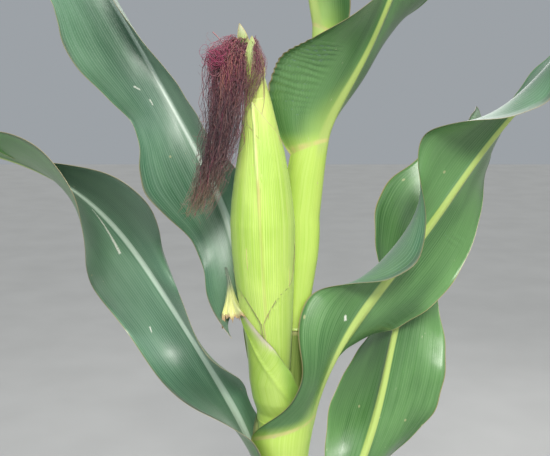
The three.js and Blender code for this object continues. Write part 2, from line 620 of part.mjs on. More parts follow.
place("stem", stemSolid(), "stem");
LEAVES.forEach((spec, i) => {
  const leaf = new Leaf(spec, LEAVES[i + 1]);
  const { inner, outer } = leafStops(leaf);
  const number = String(i + 1).padStart(2, "0");
  place(`leaf_${number}_inner`, leaf.solid(inner), spec.look);
  place(`leaf_${number}_outer`, leaf.solid(outer), spec.look);
});
place("ear", ringSolid(earRings(0)), "ear");
place("silk", silkSolid(), "silk");
place("tassel", tasselSolid(), "tassel");

export default group;
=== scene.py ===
# Looks of a maize plant: leaves, stem, husked ear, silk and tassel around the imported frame.
# Shapes are worked out in millimetres and written to the meshes in metres.

import math

import bpy
import numpy as np
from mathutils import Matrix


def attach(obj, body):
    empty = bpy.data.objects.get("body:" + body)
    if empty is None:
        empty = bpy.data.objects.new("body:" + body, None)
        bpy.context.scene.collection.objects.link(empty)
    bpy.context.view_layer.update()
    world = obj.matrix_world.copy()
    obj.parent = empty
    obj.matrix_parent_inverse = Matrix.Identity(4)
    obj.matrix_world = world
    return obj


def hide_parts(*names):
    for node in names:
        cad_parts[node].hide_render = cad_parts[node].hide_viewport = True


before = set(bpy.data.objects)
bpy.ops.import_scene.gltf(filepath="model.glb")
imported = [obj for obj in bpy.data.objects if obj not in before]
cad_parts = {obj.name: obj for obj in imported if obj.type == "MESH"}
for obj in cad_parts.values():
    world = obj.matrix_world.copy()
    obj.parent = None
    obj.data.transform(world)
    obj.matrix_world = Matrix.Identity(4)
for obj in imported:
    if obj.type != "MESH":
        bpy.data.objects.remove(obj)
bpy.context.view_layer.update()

MM = 0.001
TURN = 2 * math.pi
CAMERA_AT = (0.0434, -0.788, 1.269)
CAMERA_TILT = 80
CAMERA_LENS = 54.98

camera_data = bpy.data.cameras.new("camera")
camera_data.lens = CAMERA_LENS
camera_data.sensor_width = 36
camera_data.clip_start = 0.01
camera = bpy.data.objects.new("camera", camera_data)
camera.location = CAMERA_AT
camera.rotation_euler = (math.radians(CAMERA_TILT), 0, 0)
bpy.context.scene.collection.objects.link(camera)
bpy.context.scene.camera = camera
bpy.context.scene.view_settings.view_transform = "Standard"

# Shape of the plant, as in the solids

LEAN, BEND = 0.0615, 0.042
BEND_FROM, BEND_OVER = 1030, 120
STEM_TOP = 1925
STEM_RADII = ((0, 40, 200, 560, 885, 1080, 1220, 1335, 1700, STEM_TOP),
              (15.5, 14.6, 13.6, 12.6, 11.3, 9.8, 8.6, 7.8, 5.2, 3.6))
# Whorls of prop roots: how many, height at the stem, reach, radius, azimuth of the first
PROP_WHORLS = ((8, 82, 62, 3.6, 10), (7, 46, 40, 3.2, 34))
KNOT, KNOT_LENGTH = 0.5, 7
SHEATH_THICK = 1.5
CLEAR = 0.4
FLARE = 1
CURL = 22
SETTLE_BEND, SETTLE_OPEN, SETTLE_WIDTH, SETTLE_SKEW, SETTLE_TURN, SETTLE_WAVE = 25, 38, 40, 55, 60, 60
FIRST_RISE = 86
WIDEST = 0.34
TIP_HALF_WIDTH = 1.6
PATH_STEPS = 240

# Husked ear: height, middle x and y, radius
EAR = np.array([
    (905, 42.3, -9.3, 4.6), (925, 41, -10.6, 7.4), (945, 40.9, -12.1, 9.1),
    (965, 40.7, -13.6, 10.9), (1000, 41, -20, 15.4), (1050, 36, -26, 22.2), (1080, 34, -29, 25),
    (1112, 32.6, -30.5, 27.2), (1140, 32, -31, 28), (1160, 31.7, -31.6, 26.4),
    (1182, 31.5, -32, 23.4), (1205, 31, -32, 19.3), (1227, 30, -32, 14.9),
    (1248, 28.3, -31.4, 11.4), (1271, 25, -30.5, 8.4), (1290, 22, -29.5, 6),
    (1304, 19.6, -28.6, 3.6)])
# Hanging silk: height, middle x and y, half width and half depth
SILK = np.array([
    (1140, -38.5, -53, 7, 5), (1155, -28, -53, 11, 7.5), (1175, -18, -53, 13, 9),
    (1200, -9.5, -53, 15, 10), (1228, -3.5, -51, 17, 11), (1252, 0.5, -47, 19, 12),
    (1272, 2, -43, 20.5, 14), (1290, 2, -39, 20, 15), (1304, 4, -36, 17.5, 15),
    (1315, 8, -33, 14, 11), (1322, 11, -31, 7, 6)])


def form(node, collar, azimuth, length, width, rise, swing, roll, fold, wave, **more):
    """Form of one leaf; a pair of values is for its left and its right half.

    node and collar are the heights of the sheath's foot and top. rise, swing, roll and fold
    are angles at even steps along the blade. wave is a margin's depth, wavelength and phase.
    lapel bends a half by an angle, round a distance, over a reach. A crinkled patch has its
    side, start, end, inner and outer place across, wavelength and height. A sheath that
    leaves the stem's middle has "free": heights, then x and y from the second height up.
    wrap is a sheath's half angle, drop how far its margins stand below the collar's middle,
    base the blade's width at the collar as a share of width, and columns those of the solid.
    seen is true for a leaf that the photo shows.
    """
    sizes = dict(node=node, collar=collar, azimuth=azimuth, length=length, width=width, rise=rise,
                 swing=swing, roll=roll, fold=fold, wave=wave, columns=10, look="leaf",
                 radius=None, wrap=165, drop=30, base=0.62, sheath=None, lapel=((), ()),
                 crinkles=(), seen=False)
    return dict(sizes, **more)


LEAVES = [
    form(118, 252, 338, 430, 52, columns=8, look="dead",
         rise=(48, 10, -38, -60, -52, -35, -20), swing=(0, -6, -14, -20, -26, -30, -34),
         roll=(0, 20, 50, 70, 60, 40, 30),
         fold=((10, 30, 45, 50, 45, 40, 30), (10, 34, 50, 55, 50, 45, 30)),
         wave=((6, 95, 20), (7, 105, 140))),
    form(236, 362, 171, 600, 74, columns=8, look="drying",
         rise=(60, 48, 34, 8, -30, -52, -62), swing=(0, 4, 8, 10, 14, 16, 18),
         roll=(0, -16, -26, -22, -10, 6, 10),
         fold=((8, 16, 14, 12, 10, 8, 6), (8, 14, 14, 12, 10, 8, 6)),
         wave=((10, 150, 30), (9, 165, 170))),
    form(346, 470, 9, 700, 86, columns=8,
         rise=(62, 52, 42, 18, -20, -46, -62), swing=(0, -4, -6, -10, -14, -16, -18),
         roll=(0, 14, 22, 20, 10, -4, -10),
         fold=((8, 16, 14, 12, 10, 8, 6), (8, 14, 14, 12, 10, 8, 6)),
         wave=((12, 170, 100), (11, 155, 250))),
    form(454, 590, 189, 780, 96, columns=8,
         rise=(62, 50, 34, 6, -26, -50, -64), swing=(0, 6, 10, 14, 16, 18, 20),
         roll=(0, -18, -30, -26, -14, 0, 8), fold=[(8, 18, 16, 14, 12, 10, 6)] * 2,
         wave=((13, 180, 200), (12, 165, 60))),
    form(570, 731, 15, 860, 106, radius=20.4, seen=True,
         rise=(48, 66, 79, 52, 2, -42, -68), swing=(14, 4, 1, 24, 58, 74, 80),
         roll=(0, -62, -87, -68, -39, -16, 3),
         fold=((-8, -25, -25, -13, 2, 10, 15), (-16, 39, 78, 71, 47, 21, -1)),
         wave=((17, 212, 188), (16, 191, 4))),
    form(668, 859, 163, 860, 107, wrap=157, seen=True,
         rise=(66, 60, 55, 18, -19, -50, -74), swing=(12, 14, 32, 27, 4, -4, -6),
         roll=(30, -68, -80, -62, -31, -9, 8),
         fold=((-10, -10, 8, 82, 68, 40, 12), (2, 81, 53, 82, 73, 39, -1)),
         wave=((-45, 260, 123), (-45, 167, 271)),
         sheath=dict(z=(668, 768, 828, 853), radius=(14.6, 16.2, 18, 21.5))),
    form(770, 945, 355, 860, 113, seen=True,
         rise=(66, 54, 57, 38, 9, -22, -55), swing=(27, 2, -13, -8, -2, 0, 0),
         roll=(-14, -86, -52, -20, -11, -6, -1),
         fold=((-10, -9, 23, 38, 31, 19, 7), (-5, 15, 19, 21, 19, 14, 9)),
         wave=((-11, 220, 124), (34, 167, -135)),
         lapel=((), ((-202, 194, 88), (-121, 419, 100))),
         crinkles=((1, 98, 150, 0.5, 0.95, 6.5, 0.4), (1, 205, 236, 0.2, 0.6, 6, 0.5)),
         sheath=dict(z=(770, 853, 880, 900, 922, 945), radius=(13.4, 16.6, 20.4, 24.4, 28.2, 30))),
    form(865, 1043, 127, 840, 116, seen=True,
         rise=(69, 59, 58, 50, 17, -23, -63), swing=(-11, 19, 34, 26, 18, 15, 14),
         roll=(-83, -87, -84, -60, -37, -16, 5),
         fold=((29, 35, 14, 8, 8, 9, 9), (-17, 19, 60, 64, 48, 24, 0)),
         wave=((-29, 166, -54), (16, 183, 132)),
         sheath=dict(z=(865, 880, 900, 925, 951, 965, 1000, 1043),
                     radius=(13.2, 16, 19.8, 22.8, 25.6, 27.5, 28, 29.5),
                     azimuth=(180, 178, 176, 172, 168, 165, 152, 127),
                     left=(170, 170, 168, 166, 160, 155, 122, 110),
                     right=(170, 170, 168, 156, 112, 86, 72, 60),
                     free=((951, 965, 1000, 1043), (50, 45, 35), (-8, -15, -26)))),
    form(1030, 1213.5, 333, 820, 138, drop=15, base=1, seen=True,
         rise=(46, 68, 47, 32, 7, -26, -61), swing=(-9, 8, 7, 2, 0, 0, 0),
         roll=(26, -1, -21, -31, -29, -17, -2),
         fold=((-15, -25, -11, 5, 13, 14, 12), (21, 15, 14, 15, 14, 12, 8)),
         wave=((16, 177, -120), (45, 260, 51)),
         crinkles=((-1, 12, 96, 0.45, 0.97, 5.6, 0.95), (1, 30, 80, 0.6, 0.95, 7, 0.3)),
         sheath=dict(z=(1030, 1056, 1100, 1140, 1180, 1213.5),
                     radius=(12.1, 12.2, 15.5, 16.8, 18.2, 19), azimuth=[333] * 6,
                     left=(168, 168, 168, 162, 140, 110),
                     right=(168, 168, 168, 160, 144, 118),
                     free=((1100, 1140, 1180, 1213.5), (68.7, 71.3, 74), (1.8, 2.5, 3)))),
    form(1222, 1318, 188, 780, 106, radius=11, drop=20, seen=True,
         rise=(80, 66, 58, 40, 0, -38, -60), swing=(0, 4, 6, 8, 10, 12, 14),
         roll=(0, -24, -36, -30, -16, 0, 8), fold=[(10, 30, 24, 18, 14, 10, 6)] * 2,
         wave=((14, 180, 60), (12, 170, 200))),
    form(1328, 1450, 7, 720, 100, columns=6,
         rise=(74, 66, 56, 30, -12, -44, -62), swing=(0, -4, -8, -10, -12, -14, -16),
         roll=(0, 14, 20, 16, 8, -4, -8), fold=[(10, 24, 20, 16, 12, 10, 6)] * 2,
         wave=((12, 165, 140), (11, 150, 10))),
    form(1474, 1580, 177, 640, 92, columns=6,
         rise=(76, 68, 60, 40, 4, -30, -52), swing=(0, -4, -8, -12, -14, -16, -18),
         roll=(0, 12, 20, 16, 6, -4, -8), fold=[(12, 24, 20, 16, 12, 10, 6)] * 2,
         wave=((10, 150, 220), (9, 160, 80))),
    form(1600, 1694, 350, 540, 80, columns=6,
         rise=(78, 70, 62, 48, 22, -10, -36), swing=(0, 4, 8, 10, 12, 14, 16),
         roll=(0, -10, -16, -12, -6, 2, 6), fold=[(14, 26, 22, 18, 14, 10, 6)] * 2,
         wave=((8, 140, 300), (8, 130, 120))),
    form(1716, 1806, 172, 420, 62, columns=6,
         rise=(80, 72, 64, 54, 38, 14, -10), swing=(0, -4, -6, -8, -8, -8, -8),
         roll=(0, 8, 12, 10, 6, 2, 0), fold=[(16, 28, 24, 20, 16, 12, 8)] * 2,
         wave=((6, 120, 10), (6, 125, 190))),
]
KNOTS = [spec["node"] for spec in LEAVES] + [whorl[1] for whorl in PROP_WHORLS]


def spread(values, t):
    """Catmull-Rom curve through evenly spaced values, t from 0 to 1."""
    v = np.asarray(values, float)
    x = np.clip(t, 0, 1) * (len(v) - 1)
    i = np.minimum(x.astype(int), len(v) - 2)
    f = x - i
    a, b, c, d = v[np.maximum(i - 1, 0)], v[i], v[i + 1], v[np.minimum(i + 2, len(v) - 1)]
    return 0.5 * (2 * b + (c - a) * f + (2 * a - 5 * b + 4 * c - d) * f ** 2
                  + (3 * b - a - 3 * c + d) * f ** 3)


def curve(knots, t):
    """The same curve through points."""
    return np.stack([spread(axis, t) for axis in zip(*knots)], -1)


def follow(x, marks, path):
    """Points of a path at x, given the marks of its own points."""
    return np.stack([np.interp(x, marks, axis) for axis in path.T], -1)


def at_height(table, z):
    """Columns of a table at z, given that its first column holds heights."""
    return [np.interp(z, table[:, 0], column) for column in table[:, 1:].T]


def smoothstep(x, low, high):
    t = np.clip((x - low) / (high - low), 0, 1)
    return t * t * (3 - 2 * t)


def lattice(rows, columns):
    return np.meshgrid(rows, columns, indexing="ij")


def vectors(x, y, z):
    return np.stack(np.broadcast_arrays(x, y, z), -1).astype(float)


def around(radius, azimuth, z=0):
    return vectors(radius * np.cos(azimuth), radius * np.sin(azimuth), z)


def unit(v):
    return v / np.maximum(np.linalg.norm(v, axis=-1, keepdims=True), 1e-9)


def angles(sides):
    return np.arange(sides) / sides * TURN


def stem_middle(z):
    z = np.asarray(z, float)
    t = np.clip((z - BEND_FROM) / BEND_OVER, 0, 1)
    turned = BEND_OVER * (t ** 3 - t ** 4 / 2) + np.clip(z - BEND_FROM - BEND_OVER, 0, None)
    return vectors(LEAN * z + BEND * turned, 0 * z, z)


def bundle_middle(z):
    """Middle of the sheaths round the stem, which stand aside behind the ear's foot."""
    t = smoothstep(z, 860, 930) * (1 - smoothstep(z, 960, 1020))
    return stem_middle(z) + t[..., None] * np.array([-6.5, -4.5, 0])


def stem_radius(z):
    swell = sum(np.exp(-(((z - at) / KNOT_LENGTH) ** 2)) for at in KNOTS)
    return np.interp(z, *STEM_RADII) + KNOT * np.minimum(1, swell)


def sheath_radius(inside, columns):
    return (inside + CLEAR) / math.cos(math.radians(170 / columns)) + SHEATH_THICK / 2


def tight_radius(spec):
    return sheath_radius(float(stem_radius(spec["node"] + 30)) + KNOT, spec["columns"])


class Leaf:
    """A leaf as a function of s, the distance past its collar, and v, 1 at its left margin.

    A side is 1 for the left half and -1 for the right one.
    """

    def __init__(self, spec, following, seed):
        self.__dict__.update(spec)
        self.rng = np.random.default_rng(seed)
        self.sheath_length = self.collar - self.node - 2
        self.free_sheath = self.sheath is not None and "free" in self.sheath
        holds_next = following is not None and following["node"] < self.collar
        self.wide_from = following["node"] - 2 if holds_next else self.collar
        self.tight = tight_radius(spec)
        if self.radius is None:
            within = tight_radius(following) + SHEATH_THICK / 2 if holds_next else 0
            self.radius = max(sheath_radius(within, self.columns), self.tight + FLARE) + FLARE
        middle, radius, azimuth, *wraps = self.sheath_at(np.array(float(self.collar)))
        self.top_radius, self.first = float(radius), float(azimuth)
        self.top_wrap = [float(wrap) for wrap in wraps]
        a = math.radians(self.first)
        start = middle + around(self.top_radius, a)
        step = self.length / PATH_STEPS
        along = self.axes((np.arange(PATH_STEPS) + 0.5) * step)[0]
        self.path = start + np.vstack([np.zeros(3), np.cumsum(along * step, 0)])
        self.marks = np.arange(PATH_STEPS + 1) * step
        self.phases = self.rng.uniform(0, TURN, 12)

    def axes(self, d):
        """Directions along the midrib, across to the left half, and out of the blade."""
        t = d / self.length
        settled = 1 - np.exp(-d / SETTLE_TURN)
        first = (FIRST_RISE - self.rise[0]) * np.exp(-d / SETTLE_BEND)
        e = np.radians(spread(self.rise, t) + first)
        a = np.radians(self.first + spread(self.swing, t) * settled)
        r = np.radians(spread(self.roll, t) * settled)[..., None]
        along = around(np.cos(e), a, np.sin(e))
        level = vectors(-np.sin(a), np.cos(a), 0)
        up = np.cross(along, level)
        return along, level * np.cos(r) + up * np.sin(r), up * np.cos(r) - level * np.sin(r)

    def half_width(self, d, side):
        def shape(t):
            widening = np.sin(np.minimum(1, t / WIDEST) * math.pi / 2)
            narrowing = np.clip((t - WIDEST) / (1 - WIDEST), 0, 1) ** 2.4
            return (self.base + (1 - self.base) * widening) * (1 - narrowing)
        wrapped = self.top_radius * math.radians(self.top_wrap[side < 0])
        settled = np.maximum(TIP_HALF_WIDTH, self.width / 2 * shape(d / self.length))
        start = wrapped - self.width / 2 * shape(0)
        return settled + start * np.exp(-d / SETTLE_WIDTH)

    def blade(self, d, v):
        right, left = self.half_blade(d, v, -1), self.half_blade(d, v, 1)
        return np.where((v < 0)[..., None], right, left)

    def half_blade(self, d, v, side):
        t = np.minimum(1, d / self.length)
        u = np.abs(v)
        which = side < 0
        along, across, normal = self.axes(d)
        closed = np.exp(-d / SETTLE_OPEN)
        curl = CURL + (self.top_wrap[which] - CURL) * closed
        for angle, at, reach in self.lapel[which]:
            curl = curl + angle * np.exp(-(((d - at) / reach) ** 2)) * (1 - closed)
        c = np.radians(np.where(np.abs(curl) < 0.5, 0.5, curl))
        k = np.radians(spread(self.fold[which], t) * (1 - closed))
        depth, wavelength, phase = self.wave[which]
        ease = (1 - np.exp(-d / SETTLE_WAVE)) * (1 - t ** 3)
        wave = depth * u ** 1.8 * ease * np.sin(TURN * d / wavelength + math.radians(phase))
        half = self.half_width(d, side)
        out = half * (np.sin(k + c * u) - np.sin(k)) / c
        lift = half * (np.cos(k) - np.cos(k + c * u)) / c + wave + self.ripple(d, u, side)
        back = -self.drop * u ** 1.5 * np.exp(-d / SETTLE_SKEW)
        return (follow(d, self.marks, self.path) + across * (side * out)[..., None]
                + normal * lift[..., None] + along * back[..., None])

    def ripple(self, d, u, side):
        """Small waves of the margin and crinkles, on top of the broad waves."""
        p = self.phases[:6] if side > 0 else self.phases[6:]
        ease = (1 - np.exp(-(d / 40) ** 2)) * (1 - (d / self.length) ** 4)
        margin = (1.1 * np.sin(d / 9.3 + p[0] + 1.3 * np.sin(d / 31 + p[1]))
                  + 0.8 * np.sin(d / 5.7 + p[2])) * u ** 5
        broad = 0.7 * np.sin(d / 23 + p[3]) * np.sin(3.1 * u * math.pi + p[4]) * u
        total = (margin + broad) * ease * min(1, self.width / 100)
        for part, low, high, inner, outer, wavelength, height in self.crinkles:
            if part == side:
                within = smoothstep(d, low, low + 14) * (1 - smoothstep(d, high - 14, high))
                within = within * smoothstep(u, inner, inner + 0.2)
                within = within * (1 - 0.6 * smoothstep(u, outer, outer + 0.05))
                slant = TURN * (d + 14 * u) / wavelength + 1.6 * np.sin(d / 9 + 5 * u)
                total = total + height * within * np.sin(slant + 1.2 * np.sin(d / 4.3 - 12 * u))
        return total

    def sheath_at(self, z):
        """Middle, radius, azimuth, and the left and right wrap of the sheath at height z."""
        middle = bundle_middle(z)
        if self.sheath is None:
            f = np.clip((z - self.node) / (self.wide_from - self.node), 0, 1)
            radius = self.tight + (self.radius - self.tight) * f
        else:
            radius = np.interp(z, self.sheath["z"], self.sheath["radius"])
        if not self.free_sheath:
            return middle, radius, self.azimuth + 0 * z, self.wrap + 0 * z, self.wrap + 0 * z
        heights, xs, ys = self.sheath["free"]
        t = np.clip((z - heights[0]) / (heights[1] - heights[0]), 0, 1)
        free = vectors(np.interp(z, heights[1:], xs), np.interp(z, heights[1:], ys), z)
        turned = [np.interp(z, self.sheath["z"], self.sheath[key])
                  for key in ("azimuth", "left", "right")]
        return middle + (free - middle) * t[..., None], radius, *turned

    def sheath_ring(self, f, v):
        margin = self.drop * np.abs(v) ** 1.5
        z = self.node + 2 + f * (self.sheath_length - margin)
        middle, radius, azimuth, left, right = self.sheath_at(z)
        lap = 0 if self.free_sheath else (1 - f) ** 0.5
        a = np.radians(azimuth + np.where(v < 0, v * (right + 12 * lap), v * (left + 20 * lap)))
        radius = radius + 0.7 * lap * smoothstep(v, 0.75, 1)
        return middle + around(radius, a)

    def at(self, s, v):
        f = np.clip(1 + s / self.sheath_length, 0, 1)
        zero = np.zeros_like(s)
        slip = self.blade(zero, v) - self.sheath_ring(zero + 1, v)
        sheath = self.sheath_ring(f, v) + slip * (f ** 4)[..., None]
        return np.where((s < 0)[..., None], sheath, self.blade(np.maximum(s, 0), v))


# Meshes


def grid_faces(rows, columns, closed=False, flip=False):
    i = np.arange(rows - 1)[:, None] * columns
    j = np.arange(columns if closed else columns - 1)[None]
    k = (j + 1) % columns
    quads = np.stack(np.broadcast_arrays(i + j, i + k, i + columns + k, i + columns + j), -1)
    quads = quads.reshape(-1, 4)
    return quads[:, ::-1] if flip else quads


def capped_faces(rows, sides):
    """Faces of a closed tube: its rings and a fan over each end."""
    j = np.arange(1, sides - 1)
    fan = np.stack([0 * j, j, j + 1], -1)
    return [grid_faces(rows, sides, closed=True), fan[:, ::-1], fan + (rows - 1) * sides]


def grid_normals(grid):
    return unit(np.cross(np.gradient(grid, axis=0), np.gradient(grid, axis=1)))


def sheet_shell(grid, above, below):
    """Closed thin sheet from a grid of points: its upper face, lower face and rim."""
    rows, columns = grid.shape[:2]
    normals = grid_normals(grid)
    top, bottom = grid + normals * above, grid - normals * below
    count = rows * columns
    index = np.arange(count).reshape(rows, columns)
    border = np.concatenate([index[0, :-1], index[:-1, -1], index[-1, :0:-1], index[:0:-1, 0]])
    beyond = np.roll(border, -1)
    rim = np.stack([border, border + count, beyond + count, beyond], -1)
    faces = [grid_faces(rows, columns, flip=True), grid_faces(rows, columns) + count, rim]
    return np.vstack([top.reshape(-1, 3), bottom.reshape(-1, 3)]), faces


def tube(points, radii, sides):
    """Rings round a line of points."""
    along = unit(np.gradient(points, axis=0))
    side = np.where(np.abs(along[:, 2:]) > 0.9, [[1.0, 0, 0]], [[0, 0, 1.0]])
    u = unit(np.cross(side, along))
    w = np.cross(along, u)
    a = angles(sides)
    ring = u[:, None] * np.cos(a)[None, :, None] + w[:, None] * np.sin(a)[None, :, None]
    return points[:, None] + ring * np.asarray(radii)[:, None, None]


class Piece:
    """Collects points in millimetres, faces and named vectors, and makes an object of them."""

    def __init__(self, *names):
        self.points, self.faces, self.slots = [], [], []
        self.values = {name: [] for name in names}
        self.count = 0

    def add(self, points, faces, slots=0, **values):
        """Add blocks of faces that count from the first of these points.

        A value is given once, for every point, or for the points of one face of a sheet.
        """
        points = points.reshape(-1, 3)
        self.points.append(points)
        for block, slot in zip(faces, np.broadcast_to(slots, len(faces))):
            self.faces.append(block + self.count)
            self.slots.append(np.full(len(block), slot, np.int32))
        for name, kept in self.values.items():
            rows = np.reshape(values.get(name, (0, 0, 0)), (-1, 3))
            kept.append(np.tile(rows, (len(points) // len(rows), 1)))
        self.count += len(points)

    def add_sheet(self, grid, half_thickness, slot=0, **values):
        self.add(*sheet_shell(grid, half_thickness, half_thickness), slot, **values)

    def make(self, name, *materials):
        mesh = bpy.data.meshes.new(name)
        mesh.vertices.add(self.count)
        mesh.vertices.foreach_set("co", (np.vstack(self.points) * MM).astype(np.float32).ravel())
        corners = np.concatenate([block.ravel() for block in self.faces]).astype(np.int32)
        sizes = np.concatenate([np.full(len(block), block.shape[1]) for block in self.faces])
        mesh.loops.add(len(corners))
        mesh.loops.foreach_set("vertex_index", corners)
        mesh.polygons.add(len(sizes))
        mesh.polygons.foreach_set("loop_start", np.concatenate([[0], np.cumsum(sizes)[:-1]]))
        for material in materials:
            mesh.materials.append(material)
        mesh.polygons.foreach_set("material_index", np.concatenate(self.slots))
        mesh.update(calc_edges=True)
        mesh.polygons.foreach_set("use_smooth", np.ones(len(sizes), bool))
        for key, values in self.values.items():
            layer = mesh.attributes.new(key, "FLOAT_VECTOR", "POINT")
            layer.data.foreach_set("vector", np.vstack(values).astype(np.float32).ravel())
        piece = bpy.data.objects.new(name, mesh)
        bpy.context.scene.collection.objects.link(piece)
        return piece


# Materials

# Places of the color sockets of a mix node
COLOR_INPUTS, COLOR_OUTPUT = (6, 7), 2


class Value:
    """A number that nodes work out, or a vector or color. Numbers can be reckoned with."""

    def __init__(self, nodes, socket):
        self.nodes, self.socket = nodes, socket

    def __add__(self, other):
        return self.nodes.math("ADD", self, other)

    def __sub__(self, other):
        return self.nodes.math("SUBTRACT", self, other)

    def __mul__(self, other):
        return self.nodes.math("MULTIPLY", self, other)

    def __truediv__(self, other):
        return self.nodes.math("DIVIDE", self, other)

    def __abs__(self):
        return self.nodes.math("ABSOLUTE", self)

    def off_whole(self):
        """Distance to the nearest whole number."""
        return self.nodes.math("PINGPONG", self, 0.5)

    def ramp(self, low, high, start=0.0, end=1.0, kind="SMOOTHSTEP"):
        node = self.nodes.node("MapRange", {"interpolation_type": kind}, Value=self,
                               From_Min=low, From_Max=high, To_Min=start, To_Max=end)
        return Value(self.nodes, node.outputs[0])


class Nodes:
    """Short way to write a node material, whose color is painted in layers."""

    def __init__(self, name, roughness=0.5, **fixed):
        self.material = bpy.data.materials.new(name)
        self.material.use_nodes = True
        self.tree = self.material.node_tree
        self.shader = self.tree.nodes["Principled BSDF"]
        self.shader.inputs["Roughness"].default_value = roughness
        for key, value in fixed.items():
            self.shader.inputs[key.replace("_", " ")].default_value = value

    def node(self, kind, settings=None, **inputs):
        node = self.tree.nodes.new("ShaderNode" + kind)
        for key, value in (settings or {}).items():
            setattr(node, key, value)
        for key, value in inputs.items():
            self.feed(node.inputs[key.replace("_", " ")], value)
        return node

    def feed(self, socket, value):
        if isinstance(value, Value):
            self.tree.links.new(value.socket, socket)
        else:
            socket.default_value = value

    def split(self, vector):
        node = self.node("SeparateXYZ", Vector=vector)
        return [Value(self, socket) for socket in node.outputs]

    def attribute(self, name):
        node = self.node("Attribute", {"attribute_name": name})
        return self.split(Value(self, node.outputs["Vector"]))

    def math(self, operation, *values):
        node = self.node("Math", {"operation": operation})
        for socket, value in zip(node.inputs, values):
            self.feed(socket, value)
        return Value(self, node.outputs[0])

    def vector(self, x, y, z):
        return Value(self, self.node("CombineXYZ", X=x, Y=y, Z=z).outputs[0])

    def noise(self, x, y, z=0.0, detail=2.0, roughness=0.5):
        node = self.node("TexNoise", Vector=self.vector(x, y, z), Scale=1.0, Detail=detail,
                         Roughness=roughness)
        return Value(self, node.outputs["Fac"])

    def mix(self, factor, *tones):
        node = self.node("Mix", {"data_type": "RGBA"})
        self.feed(node.inputs[0], factor)
        for at, tone in zip(COLOR_INPUTS, tones):
            self.feed(node.inputs[at], tone if isinstance(tone, Value) else (*tone, 1.0))
        return Value(self, node.outputs[COLOR_OUTPUT])

    def start(self, factor, a, b):
        self.color = self.mix(factor, a, b)

    def paint(self, mask, tone):
        self.color = self.mix(mask, self.color, tone)

    def bump(self, height, distance, strength=1.0, **base):
        node = self.node("Bump", Height=height, Distance=distance, Strength=strength, **base)
        return Value(self, node.outputs[0])

    def finish(self, roughness=None, normal=None):
        sockets = {"Base Color": self.color, "Roughness": roughness, "Normal": normal}
        for name, value in sockets.items():
            if value is not None:
                self.feed(self.shader.inputs[name], value)
        return self.material


def stroke(n, s, q, number, leaf_number, start, end, width, end_width):
    """Mask of a straight ragged mark on one leaf, in the coordinates of "place"."""
    run = np.array(end) - np.array(start)
    length = float(np.linalg.norm(run))
    es, eq = (run / length).tolist()
    ds, dq = s - start[0], q - start[1]
    along = ds * es + dq * eq
    ragged = n.noise(s * 900, q * 1500, 2.0, detail=3)
    across = abs(dq * es - ds * eq) + (ragged - 0.5) * 0.0022
    half = along.ramp(0.0, length, width, end_width, "LINEAR")
    mask = (across / half).ramp(0.4, 1.1, 1.0, 0.0) * along.ramp(-0.001, 0.001)
    mask = mask * along.ramp(length + 0.001, length - 0.001)
    return mask * n.math("COMPARE", number, float(leaf_number), 0.4)


VEIN_PITCH, FINE_VEIN_PITCH = 0.0021, 0.00042
# Pale colour of scars, and of a painted highlight on leaf 6
MARK_AND_HIGHLIGHT_COLOR = (0.62, 0.65, 0.56)
# The second colour is a darker green for the front sheath: partly its own tint, partly painted shade
DRY_COLOR, SHEATH_GREEN_AND_SHADE = (0.56, 0.52, 0.38), (0.16, 0.31, 0.05)
# Marks on the leaves: leaf, start and end in the coordinates of "place", half width at both
UPPER_STROKES = (
    # painted highlight: this long pale mark on leaf 6 stands for a glint of light
    (6, (0.337, 0.0045), (0.286, 0.0128), 0.0004, 0.0017),
    (6, (0.205, 0.030), (0.199, 0.032), 0.0009, 0.0004),
    (8, (0.262, 0.026), (0.256, 0.0225), 0.0013, 0.0007),
    (8, (0.243, 0.019), (0.236, 0.019), 0.0010, 0.0005),
)
OUTER_STROKES = (
    (7, (0.104, -0.0155), (0.0995, -0.0125), 0.0014, 0.0019),
    (9, (0.160, -0.040), (0.150, -0.038), 0.0007, 0.0004),
)
UPPER = dict(
    deep=(0.042, 0.128, 0.066), light=(0.118, 0.240, 0.140), streak=(0.18, 0.30, 0.21),
    line=(0.24, 0.37, 0.26), base=(0.18, 0.30, 0.11), sheath=(0.30, 0.42, 0.10),
    sheath_light=(0.42, 0.52, 0.16), sheath_streak=(0.50, 0.60, 0.24), rib=(0.40, 0.51, 0.41),
    collar=(0.55, 0.58, 0.25), margin=(0.35, 0.33, 0.16), scar=(0.52, 0.50, 0.36),
    spot=(0.45, 0.42, 0.22), rough=0.40, vein=0.55, base_share=0.5, base_reach=-3.2,
    rib_foot=0.004, rib_width=0.0046, vein_relief=-0.6, coat=0.2, specular=0.6, sheen=0.12)
# base: a paler blade base, on this outer face partly painted light shining through the blade
OUTER = dict(
    deep=(0.044, 0.132, 0.036), light=(0.110, 0.258, 0.078), streak=(0.17, 0.32, 0.13),
    line=(0.20, 0.35, 0.14), base=(0.36, 0.55, 0.13), sheath=(0.38, 0.57, 0.08),
    sheath_light=(0.48, 0.65, 0.12), sheath_streak=(0.62, 0.76, 0.24), rib=(0.43, 0.56, 0.15),
    collar=(0.58, 0.54, 0.20), margin=(0.42, 0.33, 0.16), scar=(0.60, 0.58, 0.42),
    spot=(0.50, 0.47, 0.25), rough=0.34, vein=0.36, base_share=0.9, base_reach=-2.6,
    rib_foot=0.009, rib_width=0.0052, vein_relief=0.6, coat=0.3, specular=0.5, sheen=0.0)
STRAW = (0.50, 0.37, 0.17)


